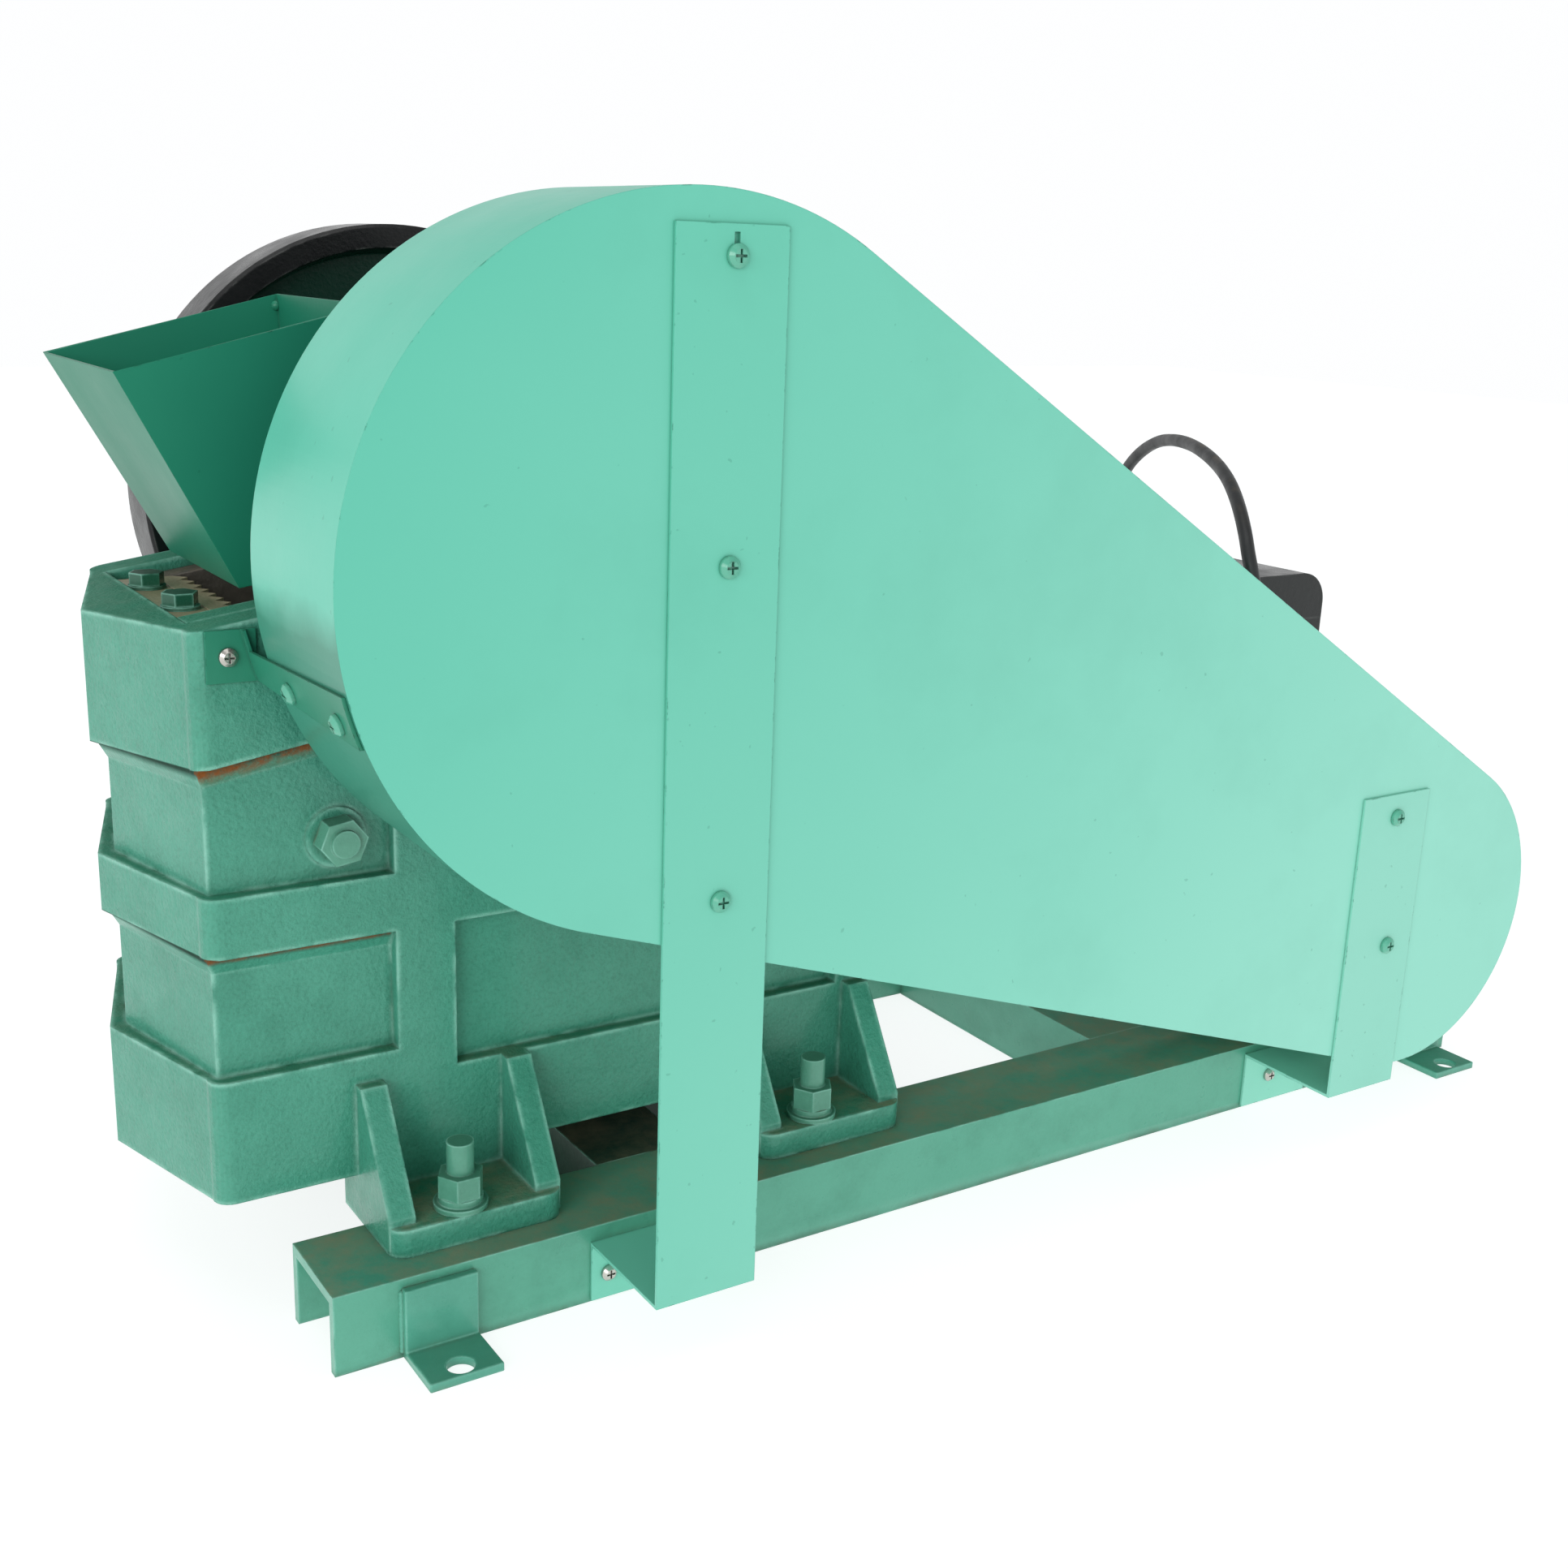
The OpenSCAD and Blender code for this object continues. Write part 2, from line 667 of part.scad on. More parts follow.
// Side directions carried along the points with no twist
function carry(p, i, done) = i >= len(p) - 1 ? done
  : let (t = tangent(p, i + 1), a = done[i]) carry(p, i + 1, concat(done, [unit(a - (a * t) * t)]));

// ---------- bearings and shaft ----------

module main_outer_rings() {
  color(steel) both_sides() yring(shaft_x, shaft_z, main_brg_r, 31.5, -boss_y + 5, -boss_y + 5 + brg_w);
}

module jaw_outer_rings() {
  color(steel) both_sides() yring(jaw_x, shaft_z, jaw_brg_r, 34.5, -head_hw + 2, -head_hw + 2 + brg_w);
}

// Rollers between two races
module rollers(x, z, pitch_r, r, y0, y1, n) {
  for (i = [0 : n - 1])
    ycyl(x + pitch_r * cos(i * 360 / n), z + pitch_r * sin(i * 360 / n), r, y0, y1, 24);
}

module bearing_inner_rings() {
  color(steel) both_sides() {
    yring(shaft_x, shaft_z, 22, main_r, -boss_y + 5, -boss_y + 5 + brg_w);
    rollers(shaft_x, shaft_z, 26.72, 4.7, -boss_y + 8, -boss_y + 2 + brg_w, 14);
    yring(jaw_x, shaft_z, 25, journal_r, -head_hw + 2, -head_hw + 2 + brg_w);
    rollers(jaw_x, shaft_z, 29.72, 4.7, -head_hw + 5, -head_hw + brg_w - 1, 16);
  }
}

module bearing_cover(side) {
  color(green) mirror([0, side > 0 ? 1 : 0, 0]) difference() {
    union() {
      ycyl(shaft_x, shaft_z, 47, -boss_y - cover_t, -boss_y);
      ycyl(shaft_x, shaft_z, main_brg_r, -boss_y - eps, -boss_y + 5);
    }
    ycyl(shaft_x, shaft_z, main_r + 0.5, -boss_y - 20, 0);
    ycyl(shaft_x, shaft_z, 31, -boss_y, 0);
    for (a = [45 : 90 : 315])
      ycyl(shaft_x + 42 * cos(a), shaft_z + 42 * sin(a), 2.7, -boss_y - 20, 0, 24);
  }
}

module bearing_cover_near() { bearing_cover(-1); }
module bearing_cover_far() { bearing_cover(1); }

// Screws of the bearing covers and of the motor's drive end shield
module hex_screws() {
  color(steel) {
    both_sides() for (a = [45 : 90 : 315])
      translate([shaft_x + 42 * cos(a), -boss_y - cover_t, shaft_z + 42 * sin(a)]) rotate([90, 0, 0])
        hex_bolt(2.5, 18, 8, 1.2);
    end_screw_places() hex_bolt(2.5, 20, 8, 3.5);
  }
}

module eccentric_shaft() {
  color(steel) difference() {
    union() {
      ycyl(shaft_x, shaft_z, main_r, -102, 101);
      ycyl(jaw_x, shaft_z, journal_r, -57, 57);
      ycyl(jaw_x, shaft_z, 25, -38, 38);
      ycyl(shaft_x, shaft_z, 15, drive_y[0] - 2, balance_y[1] + 2);
      ycyl(shaft_x, shaft_z, 12, drive_y[0] - 24, balance_y[1] + 22);
    }
    block([shaft_x - 4, drive_y[0], shaft_z + 11], [shaft_x + 4, drive_y[1], shaft_z + 20]);
    block([shaft_x - 4, balance_y[0] + 2, shaft_z + 11], [shaft_x + 4, balance_y[1], shaft_z + 20]);
  }
}

module shaft_keys() {
  color(steel) for (y = [drive_y, [balance_y[0] + 2, balance_y[1]]])
    block([shaft_x - 4, y[0], shaft_z + 11], [shaft_x + 4, y[1], shaft_z + 18]);
}

module shaft_nuts() {
  color(steel) for (s = [[-1, -drive_y[0] + 2], [1, balance_y[1] + 2]])
    mirror([0, s[0] > 0 ? 1 : 0, 0]) difference() {
      union() {
        ycyl(shaft_x, shaft_z, 22, -s[1] - 3, -s[1]);
        translate([shaft_x, -s[1] - 3, shaft_z]) rotate([90, 0, 0]) hex(36, 15);
      }
      ycyl(shaft_x, shaft_z, 12, -300, 0);
    }
}

// Wheel turned about Y from a profile of [radius, y] points
module turned(x, z, points) {
  translate([x, 0, z]) rotate([-90, 0, 0]) rotate_extrude($fn = 128) polygon(points);
}

// Groove of a belt at y, cut from an outer radius
function groove(r, y) = [[r, y - 6.6], [r - 12, y - 4.4], [r - 12, y + 4.4], [r, y + 6.6]];

module wheel(y, rim_in, grooves) {
  mid = (y[0] + y[1]) / 2;
  w = 6;
  difference() {
    turned(shaft_x, shaft_z, concat([[15, y[0] - 2], [30, y[0] - 2], [32, mid - w], [rim_in, mid - w],
      [rim_in + 3, y[0]], [wheel_r - 1.5, y[0]], [wheel_r, y[0] + 1.5]], grooves,
      [[wheel_r, y[1] - 1.5], [wheel_r - 1.5, y[1]], [rim_in + 3, y[1]], [rim_in, mid + w], [32, mid + w],
      [30, y[1] + 2], [15, y[1] + 2]]));
    block([shaft_x - 4, y[0] - 5, shaft_z], [shaft_x + 4, y[1] + 5, shaft_z + 18.2]);
  }
}

module drive_flywheel() {
  color(black) wheel(drive_y, 104, concat(groove(wheel_r, belt_y[0]), groove(wheel_r, belt_y[1])));
}

module balance_flywheel() {
  color(black) wheel([balance_y[0] + 2, balance_y[1]], 112, []);
}

// ---------- motor ----------

module motor_frame() {
  y0 = -75;
  y1 = 105;
  color(mint) difference() {
    union() {
      ycyl(motor_x, motor_z, 79, y0, y1, 96);
      for (a = [-24 : 8 : 204])
        if (a < 62 || a > 118)
          translate([motor_x, 0, motor_z]) rotate([0, -a, 0])
            block([76, y0 + 6, -1.4], [87, y1 - 4, 1.4]);
      block([motor_x - 38, -50, motor_z + 60], [motor_x + 38, 32, 222]);
      for (s = [-1, 1], y = MOTOR_FEET_Y) {
        translate([motor_x + s * motor_half_pitch, y, 0]) block([-20, -17, rail_h], [20, 17, rail_h + 12]);
        for (dy = [-15.5, 10.5])
          translate([motor_x, 0, 0]) mirror([s > 0 ? 0 : 1, 0, 0])
            side_profile([[48, rail_h + 6], [86, rail_h + 6], [84, rail_h + 18], [73, rail_h + 52],
              [48, rail_h + 48]], y + dy, y + dy + 5);
      }
    }
    ycyl(motor_x, motor_z, 68, y0 - 1, y1 + 1, 96);
    for (s = [-1, 1], y = MOTOR_FEET_Y)
      translate([motor_x + s * motor_half_pitch, y, 0]) cylinder(r = 5, h = 80, $fn = 32);
    translate([motor_x, -9, 150]) cylinder(r = 14, h = 100, $fn = 32);
    end_screw_places() translate([0, 0, -21]) cylinder(r = 2.6, h = 12, $fn = 24);
  }
}

module motor_stator() {
  color(copper) {
    yring(motor_x, motor_z, 68, 48, -40, 72);
    for (y = [[-60, -40], [72, 90]]) yring(motor_x, motor_z, 63, 51, y[0], y[1]);
  }
}

module drive_end_shield() {
  color(mint) difference() {
    union() {
      ycyl(motor_x, motor_z, 84, -88, -75, 96);
      ycyl(motor_x, motor_z, 68, -75.01, -68, 96);
      ycyl(motor_x, motor_z, 40, -103, -80, 64);
    }
    ycyl(motor_x, motor_z, 13, -120, 0, 64);
    ycyl(motor_x, motor_z, 26, -95, 0, 64);
    ycyl(motor_x, motor_z, 60, -78, 0, 64);
    end_screw_places() cylinder(r = 2.7, h = 60, center = true, $fn = 24);
  }
}

// Screw places of the end shields, with +Z outward along -Y
module end_screw_places() {
  for (a = [45 : 90 : 315])
    translate([motor_x + 75 * cos(a), -88, motor_z + 75 * sin(a)]) rotate([90, 0, 0]) children();
}

module rear_end_shield() {
  color(mint) difference() {
    union() {
      ycyl(motor_x, motor_z, 82, 105, 114, 96);
      ycyl(motor_x, motor_z, 36, 100, 126, 64);
    }
    ycyl(motor_x, motor_z, 13, 60, 150, 64);
    ycyl(motor_x, motor_z, 26, 60, 118, 64);
  }
}

module motor_bearings() {
  color(steel) for (y = [-95, 103])
    yring(motor_x, motor_z, 26, 12.52, y, y + 15);
}

module fan_cowl() {
  color(mint) difference() {
    ycyl(motor_x, motor_z, 86, 108, 180, 96);
    ycyl(motor_x, motor_z, 84.3, 100, 178.5, 96);
    for (r = [22 : 11 : 66], a = [0 : 45 : 315])
      translate([motor_x, 0, motor_z]) rotate([0, -a - 22.5, 0])
        grille_slot(r);
    ycyl(motor_x, motor_z, 10, 100, 200, 32);
  }
}

// One curved slot of the cowl's grille, 36 degrees long
module grille_slot(r) {
  rotate([-90, 0, 0]) translate([0, 0, 170]) rotate([0, 0, -18])
    rotate_extrude(angle = 36, $fn = 64) translate([r, 0]) square([5, 20]);
}

module cooling_fan() {
  color(black) {
    difference() {
      ycyl(motor_x, motor_z, 24, 132, 158);
      ycyl(motor_x, motor_z, 12, 100, 200);
    }
    difference() {
      ycyl(motor_x, motor_z, 70, 132, 135);
      ycyl(motor_x, motor_z, 23, 100, 200);
    }
    for (a = [0 : 45 : 315]) translate([motor_x, 0, motor_z]) rotate([0, -a, 0])
      block([22, 134, -1.5], [74, 160, 1.5]);
  }
}

module rotor_shaft() {
  color(steel) {
    ycyl(motor_x, motor_z, 12, -154, 158);
    ycyl(motor_x, motor_z, 12.5, -97, 119);
    ycyl(motor_x, motor_z, 47.6, -40, 72);
    ycyl(motor_x, motor_z, 18, -70, 95);
  }
}

module motor_pulley() {
  color(raw_iron) difference() {
    turned(motor_x, motor_z, concat([[12, -146], [pulley_r, -146]], groove(pulley_r, belt_y[0]),
      groove(pulley_r, belt_y[1]), [[pulley_r, -106], [12, -106]]));
    ycyl(motor_x, motor_z, 40, -150, -136, 64);
    ycyl(motor_x, motor_z, 40, -116, -100, 64);
  }
  color(raw_iron) yring(motor_x, motor_z, 22, 12, -146, -105);
}

// Section of the terminal box in X and Z, with its top corners rounded
module box_section(d) {
  r = 18 - d;
  translate([box_x[0] + d, box_z[0] + d])
    square([box_x[1] - box_x[0] - 2 * d, box_z[2] - box_z[0] - 18 - d]);
  translate([box_x[0] + 18, box_z[0] + d]) square([box_x[1] - box_x[0] - 36, box_z[2] - box_z[0] - 2 * d]);
  for (x = [box_x[0] + 18, box_x[1] - 18]) translate([x, box_z[2] - 18]) circle(r, $fn = 48);
}

module box_body(d) {
  translate([0, box_y[1] - d, 0]) rotate([90, 0, 0])
    linear_extrude(box_y[1] - box_y[0] - 2 * d) box_section(d);
}

module terminal_box() {
  color(black) difference() {
    intersection() {
      box_body(0);
      block([0, -200, 0], [500, 200, box_z[1]]);
    }
    box_body(3);
    ycyl(gland_p[0], gland_p[1], 7, box_y[0] - 10, box_y[0] + 10);
    translate([motor_x, -9, 150]) cylinder(r = 14, h = 80, $fn = 32);
  }
}

module terminal_box_lid() {
  color(black) difference() {
    intersection() {
      box_body(0);
      block([0, -200, box_z[1]], [500, 200, 400]);
    }
    box_body(3);
    lid_places() translate([0, 0, -60]) cylinder(r = 2.1, h = 100, $fn = 24);
    lid_places() translate([0, 0, 0]) cylinder(r = 4.2, h = 40, $fn = 32);
  }
}

module lid_places() {
  for (x = [box_x[0] + 9, box_x[1] - 9], y = [box_y[0] + 9, box_y[1] - 9])
    translate([x, y, box_z[1] + 8]) children();
}

// Compression gland with a tapered sleeve, on the terminal box's near side
module cable_gland() {
  color(black) translate([gland_p[0], box_y[0], gland_p[1]]) rotate([90, 0, 0]) difference() {
    union() {
      translate([0, 0, -8]) cylinder(r = 7, h = 8.02, $fn = 48);
      hex(19, 5);
      translate([0, 0, 5]) cylinder(r1 = 8.5, r2 = cord_d / 2 + 1.2, h = 13.5, $fn = 48);
    }
    translate([0, 0, -20]) cylinder(r = cord_d / 2, h = 60, $fn = 48);
  }
}

module motor_bolts() {
  color(steel) for (s = [-1, 1], y = MOTOR_FEET_Y)
    translate([motor_x + s * motor_half_pitch, y, 0]) {
      translate([0, 0, rail_h + 12]) {
        cylinder(r = 10, h = 2, $fn = 48);
        translate([0, 0, 2]) hex_bolt(5, 33, 16, 6.4);
      }
      translate([0, 0, rail_h - rail_t - 2]) cylinder(r = 10, h = 2, $fn = 48);
      translate([0, 0, rail_h - rail_t - 10]) hex(16, 8);
    }
}

// ---------- belts and guard ----------

function dir(a) = [cos(a), sin(a)];

// Loop round two circles in X and Z: their outer arcs, joined by the tangents
module belt_outline(r1, r2, c2) {
  d = c2 - guard_c1;
  th = atan2(d[1], d[0]);
  al = acos((r1 - r2) / norm(d));
  n1 = 96;
  n2 = 40;
  polygon(concat([for (i = [0 : n1]) guard_c1 + r1 * dir(th + al + i * (360 - 2 * al) / n1)],
    [for (i = [0 : n2]) c2 + r2 * dir(th - al + i * 2 * al / n2)]));
}

module belt_prism(r1, r2, c2, y0, y1) {
  translate([0, y1, 0]) rotate([90, 0, 0]) linear_extrude(y1 - y0) belt_outline(r1, r2, c2);
}

module v_belts() {
  color(black) for (y = belt_y) difference() {
    belt_prism(wheel_pitch + 3, pulley_pitch + 2.5, [motor_x, motor_z], y - 4.3, y + 4.3);
    belt_prism(wheel_pitch - 5, pulley_pitch - 5.5, [motor_x, motor_z], y - 20, y + 20);
  }
}

module belt_guard() {
  color(mint) difference() {
    belt_prism(guard_r1, guard_r2, guard_c2, guard_front, guard_front + guard_d);
    belt_prism(guard_r1 - guard_t, guard_r2 - guard_t, guard_c2, guard_front + guard_t, 0);
    for (s = STRAPS, p = s[4]) ycyl(p[0], p[1], 2.1, -250, -100, 24);
    bracket_screw_places() cylinder(r = 2.1, h = 20, center = true, $fn = 24);
  }
}

module strap(s) {
  y0 = guard_front - strap_t;
  color(mint) difference() {
    union() {
      block([s[0], y0, s[2]], [s[1], guard_front, s[3]]);
      block([s[0], y0, s[2]], [s[1], -hw, s[2] + strap_t]);
      block([s[0], -hw - strap_t, 1], [s[1], -hw, s[2] + strap_t]);
    }
    for (p = s[4]) ycyl(p[0], p[1], 2.1, -250, -100, 24);
    for (x = s[5]) ycyl(x, s[6], 2.1, -250, -100, 24);
  }
}

module guard_strap_front() {
  color(mint) difference() {
    strap(STRAPS[0]);
    block([-218.2, -250, 451.2], [-215.8, -190, 459.5]);
  }
}

module guard_strap_rear() { strap(STRAPS[1]); }

bracket_a = 198.5;

// Screws of the bracket's leg, with +Z radially out of the guard's rim
module bracket_screw_places() {
  for (y = [-129, -181])
    translate([shaft_x + (guard_r1 + 1.5) * cos(bracket_a), y, shaft_z + (guard_r1 + 1.5) * sin(bracket_a)])
      rotate([0, 90 - bracket_a, 0]) children();
}

// Tab on the casting's side, bent out into a leg that follows the guard's rim
module guard_bracket() {
  color(mint) difference() {
    union() {
      block([-383, -body_hw - 1.5, 284], [-363, -body_hw, 305]);
      intersection() {
        yring(shaft_x, shaft_z, guard_r1 + 1.5, guard_r1, -194, -body_hw);
        translate([-400, 0, 0]) rotate([90, 0, 90]) linear_extrude(45)
          polygon([[-body_hw, 284], [-body_hw, 305], [-86, 305], [-87, 296.5], [-194, 301.4], [-194, 282]]);
      }
    }
    ycyl(-374.4, 294.4, 2.1, -100, 0, 24);
    bracket_screw_places() cylinder(r = 2.1, h = 20, center = true, $fn = 24);
  }
}

// Painted screws of the guard, its bracket and the hopper feet
module painted_pan_screws() {
  color(mint) {
    for (s = STRAPS, p = s[4])
      translate([p[0], guard_front - strap_t, p[1]]) rotate([90, 0, 0]) pan_screw(4.4, 3.2, 2, 8);
    bracket_screw_places() pan_screw(4.2, 3, 2, 7);
    hopper_screw_places() pan_screw(3.8, 2.8, 2, 9);
  }
}

// Bare screws that hold the straps to the rail, the bracket to the casting and the terminal box lid
module bright_pan_screws() {
  color(steel) {
    for (s = STRAPS, x = s[5])
      translate([x, -hw - strap_t, s[6]]) rotate([90, 0, 0]) pan_screw(3.7, 2.8, 2, 9);
    translate([-374.4, -body_hw - 1.5, 294.4]) rotate([90, 0, 0]) pan_screw(3.7, 2.8, 1.95, 9);
    lid_places() pan_screw(3.8, 2.6, 2, 11);
  }
}

// ---------- hopper ----------

// Four corners of an edge pair, pulled in by d: front near, front far, rear far, rear near
function hopper_ring(f, r, d) = [[f[0] + d, -f[1] + d, f[2]], [f[0] + d, f[1] - d, f[2]],
  [r[0] - d, r[1] - d, r[2]], [r[0] - d, -r[1] + d, r[2]]];

foot_x = [-335, -302];

module feed_hopper() {
  color(green) union() {
    polyhedron(concat(hopper_ring(throat_f, throat_r, 0), hopper_ring(mouth_f, mouth_r, 0),
      hopper_ring(throat_f, throat_r, sheet_t), hopper_ring(mouth_f, mouth_r, sheet_t)),
      concat([for (k = [0 : 3]) [k, (k + 1) % 4, 4 + (k + 1) % 4, 4 + k]],
        [for (k = [0 : 3]) [8 + (k + 1) % 4, 8 + k, 12 + k, 12 + (k + 1) % 4]],
        [for (k = [0 : 3]) [(k + 1) % 4, k, 8 + k, 8 + (k + 1) % 4]],
        [for (k = [0 : 3]) [4 + k, 4 + (k + 1) % 4, 12 + (k + 1) % 4, 12 + k]]));
    both_sides() {
      difference() {
        side_profile([[foot_x[0], rim_z(foot_x[0])], [foot_x[1], rim_z(foot_x[1])],
          [foot_x[1], rim_z(foot_x[1]) + sheet_t], [foot_x[0], rim_z(foot_x[0]) + sheet_t]], -77, -51.5);
        hopper_screw_places() cylinder(r = 2.1, h = 20, center = true, $fn = 24);
      }
      side_profile([[foot_x[0], rim_z(foot_x[0])], [foot_x[1], rim_z(foot_x[1])], [foot_x[1], 336],
        [foot_x[0], 332]], -53, -51.5);
    }
  }
}

module hopper_screw_places() {
  both_sides() for (x = [-328, -309])
    translate([x, -70, rim_z(x) + sheet_t]) rotate([0, -9, 0]) children();
}

// ---------- cable ----------

module power_cord() {
  color(black) tube(smooth(ROUTE), cord_d / 2, 10);
}

// One point added between each pair, on a smooth curve through them
function smooth(p) = [for (i = [0 : len(p) - 1]) for (k = i < len(p) - 1 ? [0, 1] : [0])
  k == 0 ? p[i] : (9 * (p[i] + p[i + 1]) - p[max(i - 1, 0)] - p[min(i + 2, len(p) - 1)]) / 16];

// Envelope of the coiled length: two layers that spiral in and out again over three widths
module cord_coil() {
  color(black) translate([coil_c[0], coil_c[1], 0]) rotate_extrude($fn = 64)
    translate([coil_r - 1.52 * cord_d, 0.1]) square([3.04 * cord_d, coil_rows * cord_d + 0.1]);
}

// Round rubber plug lying beside the coil: tapered sleeve, body, and four pins
module cord_plug() {
  color(black) translate(plug_p) rotate([0, -90, 0]) {
    cylinder(r1 = cord_d / 2 + 0.6, r2 = 8, h = 24, $fn = 48);
    translate([0, 0, 24]) cylinder(r1 = 13, r2 = 17.5, h = 16, $fn = 64);
    translate([0, 0, 40]) cylinder(r = 17.5, h = 26, $fn = 64);
    for (a = [0 : 90 : 270])
      rotate([0, 0, a + 45]) translate([9, 0, 65.9]) cylinder(r = 2.4, h = 16, $fn = 24);
  }
}

rail_near();
rail_far();
cross_member_body();
cross_member_motor_front();
cross_member_motor_rear();
foot_tabs();
crusher_body();
body_bolts();
fixed_jaw_plate();
jaw_clamp_bar();
clamp_bolts();
cheek_plate_near();
cheek_plate_far();
cheek_bolts();
main_outer_rings();
bearing_cover_near();
bearing_cover_far();
hex_screws();
toggle_seat_rear();
adjusting_wedge();
adjusting_bolt();
toggle_plate();
moving_jaw();
moving_jaw_plate();
jaw_plate_bolts();
jaw_outer_rings();
toggle_seat_front();
tension_rod();
tension_spring();
tension_nuts();
eccentric_shaft();
bearing_inner_rings();
drive_flywheel();
balance_flywheel();
shaft_keys();
shaft_nuts();
motor_frame();
motor_stator();
drive_end_shield();
rear_end_shield();
fan_cowl();
terminal_box();
terminal_box_lid();
motor_bearings();
cable_gland();
motor_bolts();
rotor_shaft();
motor_pulley();
cooling_fan();
v_belts();
belt_guard();
guard_strap_front();
guard_strap_rear();
guard_bracket();
painted_pan_screws();
bright_pan_screws();
feed_hopper();
power_cord();
cord_coil();
cord_plug();
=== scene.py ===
"""Looks of a laboratory jaw crusher: painted casting, sheet-metal guard, motor and cable."""

import math

import bmesh
import bpy
from mathutils import Matrix, Vector


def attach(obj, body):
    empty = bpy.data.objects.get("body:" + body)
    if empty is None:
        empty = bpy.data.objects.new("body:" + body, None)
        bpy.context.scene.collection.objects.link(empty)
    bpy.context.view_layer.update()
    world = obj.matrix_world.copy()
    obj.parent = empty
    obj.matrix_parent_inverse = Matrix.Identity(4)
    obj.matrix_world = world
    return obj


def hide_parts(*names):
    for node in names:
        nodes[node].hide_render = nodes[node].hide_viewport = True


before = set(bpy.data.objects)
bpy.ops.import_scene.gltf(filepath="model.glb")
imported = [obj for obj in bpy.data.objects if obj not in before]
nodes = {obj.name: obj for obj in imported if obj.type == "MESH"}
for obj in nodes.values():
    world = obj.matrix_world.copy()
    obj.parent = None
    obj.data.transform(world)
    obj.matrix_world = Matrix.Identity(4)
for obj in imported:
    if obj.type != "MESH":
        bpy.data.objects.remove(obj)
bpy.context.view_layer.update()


# ---------- camera ----------

CAMERA_AT = Vector((-0.57696, -0.78890, 0.45157))
CAMERA_LOOK = Vector((0.52786, 0.80365, -0.27478))
CAMERA_ROLL = math.radians(2.098)
CAMERA_LENS = 42.36


def make_camera():
    """Camera at the place the object is seen from, a little rolled."""
    look = CAMERA_LOOK.normalized()
    level = look.cross(Vector((0, 0, 1))).normalized()
    above = level.cross(look)
    right = level * math.cos(CAMERA_ROLL) + above * math.sin(CAMERA_ROLL)
    up = right.cross(look)
    data = bpy.data.cameras.new("camera")
    data.lens = CAMERA_LENS
    data.sensor_width = 36.0
    data.clip_start = 0.01
    camera = bpy.data.objects.new("camera", data)
    bpy.context.scene.collection.objects.link(camera)
    turn = Matrix((right, up, -look)).transposed().to_4x4()
    camera.matrix_world = Matrix.Translation(CAMERA_AT) @ turn
    bpy.context.scene.camera = camera


make_camera()


# ---------- node-tree helpers ----------

